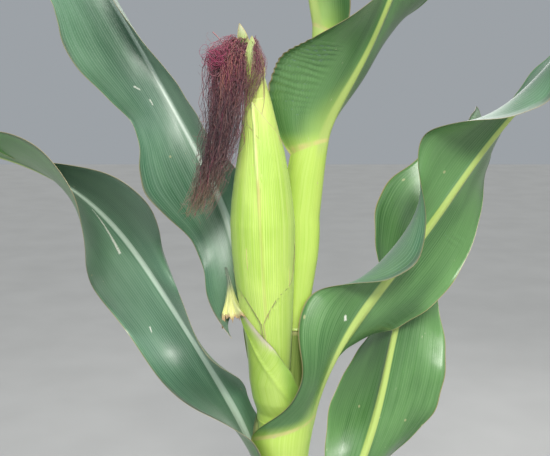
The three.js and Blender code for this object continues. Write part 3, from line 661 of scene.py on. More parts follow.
def leaf_material(name, look, strokes=()):
    """Leaf skin: fine parallel veins, a midrib, a pale margin, specks and a gloss.

    The mesh attribute "place" holds the distance past the collar, the distance across that
    veins keep, and the distance from the midrib. "edge" holds the distance from the margin,
    the share of the blade's length and a number for the leaf. "dry" holds how dry the front of
    a sheath is, and a share of darker, greener colour: partly the sheath's own tint, partly
    painted shade on its right side.
    """
    n = Nodes(name, Specular_IOR_Level=look["specular"], Sheen_Weight=look["sheen"],
              Sheen_Roughness=0.5, Coat_Weight=look["coat"], Coat_Roughness=0.3)
    s, q, mid = n.attribute("place")
    edge, t, number = n.attribute("edge")
    dry, green_and_shade, _ = n.attribute("dry")
    turned = number * 7.3
    broad = n.noise(s * 9, q * 34, turned, detail=3)
    streak = n.noise(s * 5, q * 900, turned)
    wander = n.noise(s * 14, q * 90, turned)
    vein = (q * (1 / VEIN_PITCH) + wander * 0.7).off_whole().ramp(0.0, 0.14, 1.0, 0.0)
    fine = (q * (1 / FINE_VEIN_PITCH)).off_whole()
    n.start(broad.ramp(0.3, 0.72), look["deep"], look["light"])
    n.paint(streak.ramp(0.35, 0.75) * 0.35, look["streak"])
    n.paint(vein * look["vein"], look["line"])
    # the base of the blade, its own paler colour, and on the outer face also painted light that
    # shines through the blade; and the sheath
    base = (s - (mid * look["base_reach"] + 0.062)).ramp(-0.03, 0.05, 1.0, 0.0)
    n.paint(base * look["base_share"], look["base"])
    sheath = n.mix(broad.ramp(0.3, 0.7), look["sheath"], look["sheath_light"])
    sheath = n.mix(streak.ramp(0.4, 0.7) * 0.3, sheath, look["sheath_streak"])
    n.paint(s.ramp(-0.004, 0.012, 1.0, 0.0), sheath)
    # midrib, wide at the collar and slender at the tip
    swell = n.math("POWER", 2.718, n.math("MAXIMUM", s, 0.0) * (-1 / 0.05))
    width = swell * look["rib_foot"] + t.ramp(0.0, 1.0, look["rib_width"], 0.0009, "LINEAR")
    n.paint((mid / width).ramp(0.62, 1.0, 1.0, 0.0) * s.ramp(-0.02, 0.0), look["rib"])
    # collar line and margin
    collar = abs(s - 0.001).ramp(0.0006, 0.003, 1.0, 0.0)
    n.paint(collar * wander.ramp(0.3, 0.6, 0.3, 0.9), look["collar"])
    rim = (edge + wander * 0.0005).ramp(0.0006, 0.0013, 1.0, 0.0)
    n.paint(rim * 0.8, look["margin"])
    # pale scars, marks and brown specks; the long mark on leaf 6 is a painted highlight
    grain = n.noise(s * 110, q * 330, turned, roughness=0.6)
    scar = grain.ramp(0.735, 0.77) * broad.ramp(0.45, 0.6)
    n.paint(scar * 0.7, look["scar"])
    broken = n.noise(s * 520, q * 760, turned, detail=3, roughness=0.6).ramp(0.30, 0.44)
    for mark in strokes:
        mask = stroke(n, s, q, number, *mark) * broken
        n.paint(mask, MARK_AND_HIGHLIGHT_COLOR)
        scar = n.math("MAXIMUM", scar, mask)
    # front sheath darker and greener: its own tint, with painted shade on its right side
    n.paint(green_and_shade, SHEATH_GREEN_AND_SHADE)
    n.paint(dry * streak.ramp(0.2, 0.6, 0.5, 1.0), DRY_COLOR)
    dots = n.node("TexVoronoi", Scale=1.0, Vector=n.vector(s * 55, q * 75, turned))
    shade = n.node("SeparateColor", Color=Value(n, dots.outputs["Color"])).outputs[0]
    spot = Value(n, dots.outputs["Distance"]).ramp(0.05, 0.11, 1.0, 0.0)
    spot = spot * Value(n, shade).ramp(0.82, 0.83, kind="LINEAR")
    n.paint(spot * 0.55, look["spot"])
    rough = streak.ramp(0.25, 0.75, look["rough"] - 0.07, look["rough"] + 0.07) + scar * 0.3
    normal = n.bump(vein * look["vein_relief"] + fine * 0.35 + scar * 0.6, 0.00012, 0.8)
    puckers = n.noise(s * 60, q * 120, turned, detail=3)
    return n.finish(rough, n.bump(puckers, 0.0009, 0.35, Normal=normal))


def toned(look, share, rough):
    """The same skin, drawn towards straw."""
    mixed = {key: tuple(a + (b - a) * share for a, b in zip(value, STRAW))
             for key, value in look.items() if isinstance(value, tuple)}
    return dict(look, **mixed, rough=rough)


SKINS = {
    "leaf": (leaf_material("leaf_upper", UPPER, UPPER_STROKES),
             leaf_material("leaf_outer", OUTER, OUTER_STROKES)),
    "drying": (leaf_material("drying_upper", toned(UPPER, 0.45, 0.6)),
               leaf_material("drying_outer", toned(OUTER, 0.45, 0.55))),
    "dead": (leaf_material("dead_upper", toned(UPPER, 0.9, 0.8)),
             leaf_material("dead_outer", toned(OUTER, 0.9, 0.8))),
}


def ligule_material():
    n = Nodes("ligule", 0.6, Specular_IOR_Level=0.3)
    _, q, height = n.attribute("place")
    fray = n.noise(q * 400, height * 90, detail=3)
    n.start(height.ramp(0.0, 0.003), (0.42, 0.44, 0.16), (0.36, 0.22, 0.11))
    n.paint(fray * 0.5, (0.62, 0.52, 0.34))
    return n.finish(None, n.bump(fray, 0.0004))


def fold_material():
    """Cream base of the blade beside the ear, downy and pleated."""
    n = Nodes("blade_fold", 0.6, Specular_IOR_Level=0.35, Sheen_Weight=0.3)
    share, q, height = n.attribute("place")
    down = n.noise(height * 60, q * 900, detail=3)
    n.start(share.ramp(0.2, 0.55), (0.085, 0.17, 0.12), (0.60, 0.62, 0.22))
    n.paint(down.ramp(0.4, 0.7) * 0.45, (0.78, 0.78, 0.52))
    n.paint(share.ramp(0.9, 1.0), (0.45, 0.34, 0.16))
    return n.finish(None, n.bump(down, 0.0006, 0.7))


LIGULE, FOLD_SKIN = ligule_material(), fold_material()
BLADE_SLOT, OUTER_SLOT, LIGULE_SLOT, FOLD_SLOT = range(4)

# Leaves

# The sheath of leaf 8 in front of the ear: height, middle x and y, radius, azimuth of its margin
FRONT_SHEATH = np.array([
    (942, 51.5, -4.5, 25.6, 332), (951, 52, -4.5, 26.5, 328), (965, 50, -8, 28.4, 320),
    (985, 47.1, -12, 28.6, 308), (1000, 45.2, -15.2, 27.3, 299), (1012, 42, -19, 24.9, 291),
    (1024, 39.2, -22.4, 22.9, 280), (1033, 37.9, -24.3, 22.8, 264), (1042, 37, -25.6, 23.9, 247),
    (1050, 36.2, -26.4, 24.9, 232), (1055, 35.9, -26.8, 25.4, 221)])
FRONT_LEAF = 8
FRONT_FROM = 150    # azimuth at which it leaves the rest of the sheath
FRONT_CUT = (-88, 13)    # stretch of the leaf whose left half the front replaces
# Corners of the blade fold above it: top, left foot and right foot
BLADE_FOLD = np.array([[-4.2, 0.5, 1091.5], [-6.0, -34, 1052.5], [18.2, -40, 1054.5]])
# Half thicknesses of thin skins, of a blade and of a ligule
SKIN_HALF, BLADE_HALF, LIGULE_HALF = 0.12, 0.14, 0.07
LIGULE_STEPS, LIGULE_REACH = 61, 0.86


def add_front_sheath(skin):
    """Loose front of leaf 8's sheath, with its dry margin, fold and papery ligule."""
    z, a = lattice(np.linspace(942, 1055, 80), np.linspace(0, 1, 50))
    x, y, radius, margin = at_height(FRONT_SHEATH, z)
    degrees = FRONT_FROM + (margin - FRONT_FROM) * a
    azimuth = np.radians(degrees)
    pleat = 0.8 * np.exp(-(((np.degrees(azimuth) - 196 - 1.15 * (1050 - z)) / 5) ** 2))
    radius = radius + pleat + 0.25 * np.sin(z / 3.1) * a ** 8
    left = (1 - a) * np.radians(margin - FRONT_FROM) * radius
    high = smoothstep(z, 1016, 1030)
    dry = 0.9 * smoothstep(left, 7.5, 1.5) * high + 0.35 * smoothstep(left, 14, 6) * high
    # painted shade: the front grows darker green towards its right side, where leaf 7's blade casts a
    # shadow; the weak tint all over is its own colour
    green_and_shade = (0.22 + 0.55 * smoothstep(degrees, 268, 296)) * smoothstep(z, 942, 956)
    grid = vectors(x, y, z) + around(radius, azimuth)
    skin.add_sheet(grid, SKIN_HALF, OUTER_SLOT, place=vectors(z - 1090, radius * azimuth, 99) * MM,
                   edge=vectors(left * MM, 0, FRONT_LEAF), dry=vectors(dry, green_and_shade, 0))
    # the fold of the blade, pleated and with a ragged foot
    top, foot_left, foot_right = BLADE_FOLD
    foot = foot_left * 0.62 + foot_right * 0.38
    b, c = lattice(np.linspace(0, 1, 56), np.linspace(0, 1, 48))
    across = foot_left + (foot_right - foot_left) * c[..., None]
    fold = top + (foot - top) * (b ** 0.9)[..., None]
    fold = fold + (across - foot) * (0.10 + 0.30 * b + 0.60 * b ** 2.8)[..., None]
    out = (1.7 * np.sin(c * 15 + 2.2 * b + 0.5) * (0.25 + 0.75 * b)
           + 2.6 * np.exp(-(((c - 0.35 - 0.45 * b) / 0.10) ** 2)) * smoothstep(b, 0.1, 0.6))
    fold = fold + out[..., None] * np.array([0.1, -1, 0.15])
    ragged = 1.7 * np.sin(c * 9 + 0.6) + 1.1 * np.sin(c * 23 + 2) + 0.7 * np.sin(c * 51)
    fold = fold + vectors(1.6 * np.sin(b * 4.2) * (1 - b), 0, ragged * smoothstep(b, 0.6, 1))
    share = b * (0.55 + 0.45 * smoothstep(c, 0.0, 0.3))
    skin.add_sheet(fold, SKIN_HALF, FOLD_SLOT, place=vectors(share, c * 0.02, b * 0.04))
    # the papery ligule that hangs from it
    h, e = lattice(np.linspace(0, 1, 9), np.linspace(0, 1, 70))
    hang = 2.2 + 11 * np.exp(-((e / 0.09) ** 2)) + 1.3 * np.sin(e * 31) + 0.9 * np.sin(e * 57 + 1)
    papery = follow(e, c[-1], fold[-1]) + vectors(
        h * np.sin(e * 23), -1.2 * np.sin(h * 2.6) - 0.4, -hang * h + 0.8)
    skin.add_sheet(papery, SKIN_HALF, LIGULE_SLOT, place=vectors(0, e * 0.03, 0.001 + h * 0.004))


def add_ligule(skin, leaf, last):
    """Thin frayed skin that stands up at the top of the sheath, as far as last across it."""
    ends = np.linspace(-LIGULE_REACH, last, LIGULE_STEPS)
    h, e = lattice(np.linspace(0, 1, 5), ends)
    inward = grid_normals(leaf.at(*lattice([-2.0, 1.0], ends)))[0]
    frayed = 3.2 + 1.6 * leaf.rng.random(LIGULE_STEPS)[None]
    rise = h * frayed * (1 - np.abs(e / 0.9) ** 6)
    grid = (leaf.at(np.full_like(e, -0.5), e) + inward[None] * (0.35 + 0.5 * h[..., None])
            + vectors(0, 0, rise))
    skin.add_sheet(grid, LIGULE_HALF, LIGULE_SLOT, place=vectors(0, e * leaf.width / 2, rise) * MM)


def build_leaf(number, spec, following):
    leaf = Leaf(spec, following, 100 + number)
    skin = Piece("place", "edge", "dry")
    row_step, half = (2.6, 17) if leaf.seen else (5.0, 12)
    dense_to = max([24] + [crinkle[2] for crinkle in leaf.crinkles])
    s = np.concatenate([
        np.linspace(-leaf.sheath_length, -14, int(leaf.sheath_length / (row_step * 1.6))),
        np.arange(-12, dense_to, 1.5),
        np.linspace(dense_to, leaf.length, int((leaf.length - dense_to) / row_step))])
    u = np.linspace(-1, 1, 2 * half + 1)
    S, V = lattice(s, np.sign(u) * np.abs(u) ** 1.45)
    d = np.maximum(S, 0)
    t = d / leaf.length
    width = np.where(V < 0, leaf.half_width(d, -1), leaf.half_width(d, 1))
    mid, margin = np.abs(V) * width, (1 - np.abs(V)) * width
    rib = np.exp(-((mid / (1.6 + 3.4 * (1 - t))) ** 2))
    blade_share = smoothstep(S, -30, 25)
    above = BLADE_HALF - (0.25 + 0.75 * (1 - t)) * rib * blade_share
    below = BLADE_HALF + (0.5 + blade_share * (0.3 + 2.6 * (1 - t) ** 1.3)) * rib
    points, faces = sheet_shell(leaf.at(S, V), above[..., None], below[..., None])
    if number == FRONT_LEAF:
        # the loose front takes the place of this stretch
        gone = np.tile(((S > FRONT_CUT[0]) & (S < FRONT_CUT[1]) & (V > 0.12)).ravel(), 2)
        faces = [block[~gone[block].all(1)] for block in faces]
    skin.add(points, faces, (BLADE_SLOT, OUTER_SLOT, OUTER_SLOT),
             place=vectors(S, V * leaf.width / 2, mid) * MM, edge=vectors(margin * MM, t, number))
    add_ligule(skin, leaf, 0.1 if number == FRONT_LEAF else LIGULE_REACH)
    if number == FRONT_LEAF:
        add_front_sheath(skin)
    piece = skin.make(f"maize_leaf_{number:02d}", *SKINS[leaf.look], LIGULE, FOLD_SKIN)
    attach(piece, "root")
    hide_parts(f"leaf_{number:02d}_inner", f"leaf_{number:02d}_outer")


for number, spec in enumerate(LEAVES, 1):
    build_leaf(number, spec, LEAVES[number] if number < len(LEAVES) else None)

# Stem and prop roots


def stem_material():
    n = Nodes("stem_skin", 0.5, Specular_IOR_Level=0.45)
    turn, height, is_root = n.attribute("place")
    joint = n.attribute("joint")[0]
    streak = n.noise(turn * 60, height * 6, detail=3)
    broad = n.noise(turn * 3, height * 12)
    n.start(streak.ramp(0.3, 0.7), (0.17, 0.27, 0.05), (0.34, 0.45, 0.11))
    n.paint(broad.ramp(0.5, 0.7) * height.ramp(0.1, 0.9, 0.8, 0.0), (0.22, 0.08, 0.06))
    n.paint(joint.ramp(0.3, 0.9), (0.46, 0.48, 0.18))
    root = n.mix(streak.ramp(0.3, 0.7), (0.20, 0.12, 0.06), (0.42, 0.30, 0.15))
    n.paint(is_root, root)
    return n.finish(streak.ramp(0.2, 0.8, 0.38, 0.6), n.bump(streak, 0.0005, 0.6))


def add_prop_roots(stem):
    rng = np.random.default_rng(3)
    steps, sides = 22, 12
    t = np.linspace(0, 1, steps)
    for amount, source, reach, thick, turn in PROP_WHORLS:
        for k in range(amount):
            azimuth = math.radians(turn + 360 * k / amount)
            out = around(1, azimuth)
            far = reach * (0.88 if k % 2 else 1)
            middle = stem_middle(np.full(steps, source)) * vectors(1 - t, 1, 1)
            middle = middle + out * (far * t)[:, None]
            middle[:, 2] = source * (1 - t ** 1.7) - 6 * np.sin(math.pi * t) * (1 - t)
            wobble = np.sin(t * 9 + rng.uniform(0, 6)) * 1.1 * np.sin(math.pi * t)
            middle += np.cross(out, [0, 0, 1]) * wobble[:, None]
            radii = thick * (1 + 0.5 * (1 - t)) * (1 + 0.06 * np.sin(t * 40 + k))
            rings = tube(middle, radii, sides)
            rings[-1, :, 2] = 0
            rings[:, :, 2] = np.maximum(rings[:, :, 2], 0)
            stem.add(rings, capped_faces(steps, sides),
                     place=vectors(np.arange(sides)[None] / sides, t[:, None] * 0.08, 1.0))


def build_stem():
    stem = Piece("place", "joint")
    near_knots = [at + np.linspace(-12, 12, 9) for at in KNOTS]
    heights = np.unique(np.concatenate([np.arange(0, STEM_TOP, 9.0), [STEM_TOP], *near_knots]))
    rows, sides = len(heights), 40
    Z, A = lattice(heights, angles(sides))
    radius = stem_radius(Z) - 0.25 * np.cos(A * 2) ** 8
    joint = np.max([np.exp(-(((Z - at) / 4) ** 2)) for at in KNOTS], 0)
    grid = stem_middle(Z) + around(radius, A)
    stem.add(grid, [grid_faces(rows, sides, closed=True)],
             place=vectors(A / TURN, Z * MM, 0), joint=vectors(joint, joint, joint))
    for ring, z, flip in ((0, 0, False), ((rows - 1) * sides, STEM_TOP, True)):
        border = ring + np.arange(sides + 1) % sides - stem.count
        fan = np.stack([border[:-1], 0 * border[1:], border[1:]], -1)
        stem.add(stem_middle(z), [fan[:, ::-1] if flip else fan], place=(0, z * MM, 0))
    add_prop_roots(stem)
    piece = stem.make("maize_stem", stem_material())
    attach(piece, "root")
    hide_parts("stem")


build_stem()

# Ear: overlapping husk leaves round the cob


def husk_material():
    n = Nodes("husk_skin", Specular_IOR_Level=0.45, Sheen_Weight=0.1, Coat_Weight=0.06,
              Coat_Roughness=0.35)
    s, q, edge = n.attribute("place")
    _, fold, number = n.attribute("edge")
    broad = n.noise(s * 14, q * 40, number, detail=3)
    streak = n.noise(s * 6, q * 1100, number)
    wander = n.noise(s * 16, q * 60, number)
    vein = (q * (1 / 0.0016) + wander * 0.8).off_whole().ramp(0.0, 0.2, 1.0, 0.0)
    n.start(broad.ramp(0.3, 0.7), (0.36, 0.55, 0.07), (0.50, 0.68, 0.13))
    n.paint(streak.ramp(0.35, 0.7) * 0.4, (0.60, 0.74, 0.24))
    n.paint(vein * 0.45, (0.24, 0.41, 0.045))
    # yellower neck, darker and then dry tips, brown margins
    n.paint(s.ramp(1.20, 1.26, 0.0, 0.6), (0.66, 0.74, 0.20))
    n.paint(s.ramp(1.266, 1.29, 0.0, 0.75), (0.27, 0.36, 0.13))
    n.paint(s.ramp(1.302, 1.316, 0.0, 0.7), (0.46, 0.46, 0.33))
    n.paint(edge.ramp(0.0003, 0.0012, 0.75, 0.0), (0.50, 0.40, 0.20))
    # the fold: a stained crease below, and above it a pale ridge, a painted highlight along the
    # raised pleat
    crease = fold.ramp(0.3, 2.2, 0.65, 0.0) * s.ramp(1.215, 1.175)
    n.paint(crease * wander.ramp(0.35, 0.6, 0.35, 1.0), (0.54, 0.40, 0.16))
    n.paint(fold.ramp(0.6, 2.0, 0.6, 0.0) * s.ramp(1.17, 1.20), (0.68, 0.80, 0.30))
    tan = n.noise(s * 45, q * 300, number, detail=3)
    n.paint(tan.ramp(0.62, 0.72) * edge.ramp(0.001, 0.012, 0.7, 0.0), (0.40, 0.26, 0.12))
    normal = n.bump(vein + streak * 0.5, 0.00014, 0.9)
    puckers = n.noise(s * 30, q * 90, number)
    return n.finish(streak.ramp(0.2, 0.8, 0.36, 0.5), n.bump(puckers, 0.0012, 0.4, Normal=normal))


# Husk leaves from the inside out: the azimuth of the middle, how far out each lies, and the
# half angle that it wraps at heights from its tip down
HUSKS = [
    (250, 0.0, ((1304, 0), (1298, 90), (1286, 178), (1000, 178))),
    (330, 0.5, ((1300, 0), (1292, 50), (1270, 110), (1200, 150), (990, 150))),
    (120, 0.9, ((1296, 0), (1286, 60), (1262, 110), (1200, 150), (980, 150))),
    (20, 1.3, ((1284, 0), (1272, 50), (1240, 100), (1180, 140), (965, 140))),
    (200, 1.7, ((1238, 0), (1234, 16), (1226, 44), (1212, 84), (1180, 120), (950, 140))),
    (250, 2.2, ((1250, 0), (1246, 12), (1241, 28), (1232, 52), (1223, 82), (1205, 118),
                (1170, 140), (960, 150), (935, 110))),
    (80, 2.9, ((1200, 0), (1190, 20), (1160, 60), (1120, 84), (1094, 100), (1087, 106),
               (1076, 144), (1062, 164), (1050, 178), (930, 178))),
]
FRONT_HUSK = 5
# Raised fold down the front husk: heights and azimuths
FOLD = ((1084, 1121, 1148, 1174, 1191, 1213, 1230, 1249),
        (269.3, 269, 266.7, 264.2, 260.9, 255.6, 252.5, 247.2))
# Free husk tips among the silk: middle line and half widths
HUSK_TIPS = [
    (((19, -34, 1280), (17.5, -38, 1294), (14.6, -39, 1307), (12.4, -38, 1317.5)),
     (4.5, 5.0, 4.4, 0.4)),
    (((27, -43, 1252), (25.6, -49, 1270), (23.4, -51, 1286), (23.2, -49, 1297),
      (23.4, -45, 1306.5)), (6.5, 7.2, 6.6, 4.6, 0.5)),
    (((28, -24, 1262), (30, -24, 1276), (28, -24, 1290), (24, -25, 1299)),
     (3.0, 4.6, 3.6, 0.5)),
]
NO_FOLD = 99    # distance from the fold where there is none


def ear_point(z, a, lift):
    x, y, r = at_height(EAR, z)
    return vectors(x, y, z) + around(r + lift, a)


def husk_tip(line, halves, v):
    """A free pointed husk end, folded along its middle."""
    t = np.linspace(0, 1, 30)
    middle, half = curve(line, t), spread(halves, t)[:, None]
    along = unit(np.gradient(middle, axis=0))
    across = unit(np.cross(along, [0.15, 1.0, 0.1]))
    front = np.cross(across, along)
    bend = 0.38 * np.abs(v)[None] ** 1.6 * half
    return (middle[:, None] + across[:, None] * (v[None] * half)[..., None]
            + front[:, None] * bend[..., None])


def add_husk(ear, number, rng):
    azimuth, out, profile = HUSKS[number]
    marks = np.array(profile, float)[::-1]
    foot, tip = marks[0, 0], marks[-1, 0]
    rows, half = (170, 56) if number == FRONT_HUSK else (84, 20)
    T, V = lattice(1 - (1 - np.linspace(0, 1, rows)) ** 1.3, np.linspace(-1, 1, 2 * half + 1))
    z = foot + (tip - foot) * T
    r = np.interp(z, EAR[:, 0], EAR[:, 3])
    reach = np.maximum(1, np.interp(z, marks[:, 0], marks[:, 1]))
    wave = rng.uniform(0, 6, 3)
    degrees = azimuth + V * reach + 1.6 * np.sin(T * 4 + wave[0]) * (number < FRONT_HUSK)
    a = np.radians(degrees)
    flutter = 0.35 * np.abs(V) ** 6 * np.sin(T * 26 + wave[1])
    ridges = 0.16 * np.cos(np.degrees(a) * (TURN / 6.4) + 0.7 * np.sin(z / 31))
    off = out * 0.5 + flutter + ridges + 0.25 + 0.5 * smoothstep(z, tip - 14, tip)
    from_fold = NO_FOLD
    if number == FRONT_HUSK:
        apart = np.radians((np.degrees(a) - np.interp(z, *FOLD) + 180) % 360 - 180) * r
        off = off + smoothstep(z, 1084, 1150) * (1.25 * np.exp(-((apart / 0.9) ** 2))
                                                 - 0.5 * np.exp(-(((apart - 2.2) / 1.2) ** 2)))
        from_fold = np.abs(apart)
    margin = (1 - np.abs(V)) * np.radians(reach) * r
    ear.add_sheet(ear_point(z, a, off), SKIN_HALF, edge=vectors(T, from_fold, number * 3.7),
                  place=vectors(z, np.radians(V * reach) * 24, margin) * MM)


def build_ear():
    ear = Piece("place", "edge")
    rng = np.random.default_rng(11)
    for number in range(len(HUSKS)):
        add_husk(ear, number, rng)
    for number, (line, halves) in enumerate(HUSK_TIPS):
        v = np.linspace(-1, 1, 15)
        grid = husk_tip(line, halves, v)
        margin = (1 - np.abs(v)) * spread(halves, np.linspace(0, 1, len(grid)))[:, None]
        ear.add_sheet(grid, SKIN_HALF, place=vectors(grid[..., 2], v * 5, margin) * MM,
                      edge=(0.6, NO_FOLD, 2.3 * number + 31))
    # shank and core inside the husks
    sides = 24
    heights = np.concatenate([np.arange(905, 1290, 8.0), [1292]])
    Z, A = lattice(heights, angles(sides))
    ear.add(ear_point(Z, A, -0.4), capped_faces(len(heights), sides),
            place=vectors(Z * MM, np.arange(sides) * 0.004, 0.01), edge=(0, NO_FOLD, 0))
    piece = ear.make("maize_ear", husk_material())
    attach(piece, "root")
    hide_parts("ear")


build_ear()

# Silk


def silk_material():
    n = Nodes("silk_threads", 0.5, Specular_IOR_Level=0.4, Sheen_Weight=0.2)
    run, tone, height = n.attribute("place")
    magenta, salmon, pale = n.attribute("hue")
    n.start(height.ramp(1.23, 1.30), (0.070, 0.026, 0.036), (0.19, 0.030, 0.062))
    n.paint(tone.ramp(0.5, 1.0) * 0.6, (0.27, 0.13, 0.11))
    n.paint(height.ramp(1.205, 1.150) * 0.85, (0.22, 0.165, 0.085))
    n.paint(tone.ramp(0.3, 0.0, 0.0, 0.75), (0.020, 0.009, 0.014))
    n.paint(magenta, (0.33, 0.022, 0.10))
    # salmon threads: the silk's own reddish hue, made bright as a painted highlight
    n.paint(salmon, (0.62, 0.22, 0.13))
    n.paint(pale, (0.50, 0.36, 0.30))
    speck = n.noise(run * 40, tone)
    n.paint(speck.ramp(0.55, 0.75) * 0.5, (0.36, 0.22, 0.17))
    return n.finish(speck.ramp(0.3, 0.7, 0.4, 0.6))


def keep_off_ear(points, gap):
    """Move points that lie within the ear out to its husks."""
    z = points[..., 2]
    cx, cy, radius = at_height(EAR, z)
    r = np.where(z < EAR[-1, 0] + 1, radius + gap, 0)
    dx, dy = points[..., 0] - cx, points[..., 1] - cy
    push = np.maximum(r / np.maximum(np.hypot(dx, dy), 1e-3), 1)
    return vectors(cx + dx * push, cy + dy * push, z)


class Threads(Piece):
    """Collects threads of three sides. A hue is a share of magenta, salmon and pale."""

    def __init__(self):
        super().__init__("place", "hue")
        self.rng = np.random.default_rng(21)

    def thread(self, path, radius, hue):
        steps = len(path)
        rings = tube(path, np.linspace(1, 0.55, steps) * radius, 3)
        run = np.linspace(0, 1, steps) + self.rng.uniform(0, 90)
        here = vectors(run, self.rng.random(), path[:, 2] * MM)
        self.add(rings, [grid_faces(steps, 3, closed=True)], place=np.repeat(here, 3, 0), hue=hue)

    def wander(self, steps, knots, size):
        """Smooth random wandering of a thread, one row a step."""
        t = np.linspace(0, 1, steps)
        return np.stack([spread(self.rng.normal(size=knots), t) for _ in range(3)], -1) * size


def add_tress(silk, rng, locks=40, lock_threads=14, steps=40):
    """Threads that rise out of the husks' mouth, bend over and hang to the left, in locks."""
    t = np.linspace(0, 1, steps)
    for _ in range(locks):
        angle = rng.uniform(0, TURN)
        middle = np.sqrt(rng.random()) * 0.88 * np.array([math.cos(angle), math.sin(angle)])
        sway = silk.wander(steps, 7, 1.7)
        low = 1147 + 46 * rng.random() ** 1.5 if rng.random() < 0.72 else rng.uniform(1190, 1270)
        for _ in range(lock_threads):
            a, b = middle + rng.normal(size=2) * 0.20
            x, y, foot = 19.8 + 2.6 * a, -29 + 2.6 * b, 1288 + rng.uniform(0, 9)
            high = 1294 + 11 * rng.random() ** 1.6
            last = low + rng.exponential(7.0)
            rise = 0.15 + 0.05 * rng.random()
            z = np.where(t < rise, foot + (high - foot) * np.sin(t / rise * math.pi / 2),
                         high + (last - high) * np.clip((t - rise) / (1 - rise), 0, 1) ** 1.12)
            cx, cy, rx, ry = at_height(SILK, z)
            away = smoothstep(t, 0, rise * 1.7)
            path = vectors(x + (cx + rx * a - x) * away, y + (cy + ry * b - y) * away, z)
            fine = silk.wander(steps, 13, 1.5) + silk.wander(steps, 30, 0.85)
            path += away[:, None] * (sway + fine)
            red = rng.random() < 0.10
            silk.thread(keep_off_ear(path, 0.8 + 2.2 * rng.random()), rng.uniform(0.18, 0.29),
                        (0.7 * red, 0, 0))


def add_veil(silk, rng, amount=120):
    """Thin veil in front of the ear's neck."""
    for _ in range(amount):
        f = np.linspace(0, 1, 22)
        end = 1243 + 34 * rng.random() ** 1.3
        z = 1303 + 4 * np.sin(f * 2) + (end - 1305) * f ** 1.2
        right = np.interp(z, [1243, 1257, 1273, 1285, 1303], [20, 26, 33.4, 34.5, 26])
        left = np.interp(z, [1243, 1273, 1303], [10, 19, 25])
        share = np.clip(rng.random() ** 0.5 + 0.25 * rng.normal() * f, 0, 1)
        path = vectors(left + (right - left) * share, -40 - 14 * np.sin(f * 2.6), z)
        path += silk.wander(22, 9, 1.3)
        silk.thread(keep_off_ear(path, 0.8), rng.uniform(0.12, 0.18),
                    (0.1, 0, 0.35 * (rng.random() < 0.4)))


def add_tangle(silk, rng, amount=62):
    """Curly tangle at the left."""
    for _ in range(amount):
        middle = np.array([-7.6, -55, 1287.0]) + rng.normal(size=3) * [3.2, 2.2, 3.6]
        first, second = unit(rng.normal(size=3) * [1, 0.5, 0.8]), unit(rng.normal(size=3))
        second = unit(second - first * (second @ first))
        a = np.linspace(0, rng.uniform(4.5, 9.5), 24) + rng.uniform(0, 6)
        size = np.linspace(rng.uniform(3.6, 6.6), rng.uniform(2.2, 7.2), 24)[:, None]
        path = middle + size * (np.cos(a)[:, None] * first + np.sin(a)[:, None] * second)
        silk.thread(path + silk.wander(24, 9, 0.5), rng.uniform(0.17, 0.27),
                    (rng.uniform(0.4, 1), 0, 0.3 * (rng.random() < 0.3)))


def add_loops(silk, rng, amount=54):
    """Loops over the top, and salmon threads down the middle, whose brightness is a painted
    highlight.
    """
    f = np.linspace(0, 1, 26)
    for k in range(amount):
        salmon = int(k % 5 < 2)
        top = rng.uniform(1299, 1308) - 4 * salmon
        reach = rng.uniform(-2, 13) if salmon else rng.uniform(-15, 4)
        end = rng.uniform(1236, 1266) if salmon else rng.uniform(1262, 1286)
        knots = ((17, -33, 1294), (12 - 5 * (1 - salmon), -36, top), (reach + 3, -50, top - 7),
                 (reach, -54, 1284), (reach - 1 - 2 * salmon, -55, end))
        silk.thread(curve(knots, f) + silk.wander(26, 12, 1.2), rng.uniform(0.15, 0.23),
                    (0.65 * (1 - salmon), 0.8 * salmon * rng.random(), 0.3 * rng.random()))


def add_loose_ends(silk, rng, amount=150):
    """Short ends that stand off the outline."""
    for _ in range(amount):
        z = rng.uniform(1150, 1306)
        cx, cy, rx, ry = at_height(SILK, z)
        a = rng.uniform(0, TURN)
        foot = np.array([cx + rx * 0.9 * math.cos(a), cy + ry * 0.9 * math.sin(a), z])
        out = unit(np.array([math.cos(a), math.sin(a) * 0.6, rng.normal() * 0.7]))
        curl = unit(np.cross(out, rng.normal(size=3)))
        g = np.linspace(0, 1, 9)[:, None]
        size = rng.uniform(3, 9)
        path = foot + out * size * np.sin(g * rng.uniform(1.2, 2.6)) + curl * size * g ** 2 * 0.7
        silk.thread(keep_off_ear(path, 1.0), rng.uniform(0.1, 0.17), (0.3, 0, 0.2))


def build_silk():
    silk = Threads()
    for add in (add_tress, add_veil, add_tangle, add_loops, add_loose_ends):
        add(silk, silk.rng)
    stalk = np.array([[-10.7, -40, 1310], [-7, -41, 1306.5], [-3.5, -42, 1302.5], [1, -44, 1296]])
    silk.thread(stalk, 0.6, (0.5, 0, 0.4))
    piece = silk.make("maize_silk", silk_material())
    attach(piece, "root")
    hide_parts("silk")


build_silk()

# Tassel

SPIKE_TOP = 2262
SPIKE_BARE_TO = 2075
BRANCHES = 11
SPIKELET_LENGTH, SPIKELET_SPACING = 8.5, 4.2
SPIKELET_RADII = (0.4, 1.25, 1.05, 0.12)


def tassel_material():
    n = Nodes("tassel_spikelets", 0.65, Specular_IOR_Level=0.3)
    along, tone, is_branch = n.attribute("place")
    n.start(tone.ramp(0.0, 1.0), (0.30, 0.34, 0.10), (0.52, 0.42, 0.18))
    n.paint(along.ramp(0.5, 1.0) * 0.6, (0.42, 0.20, 0.14))
    n.paint(is_branch, (0.26, 0.36, 0.09))
    fibre = n.noise(along * 9, tone * 40, detail=3)
    return n.finish(None, n.bump(fibre, 0.0003, 0.5))


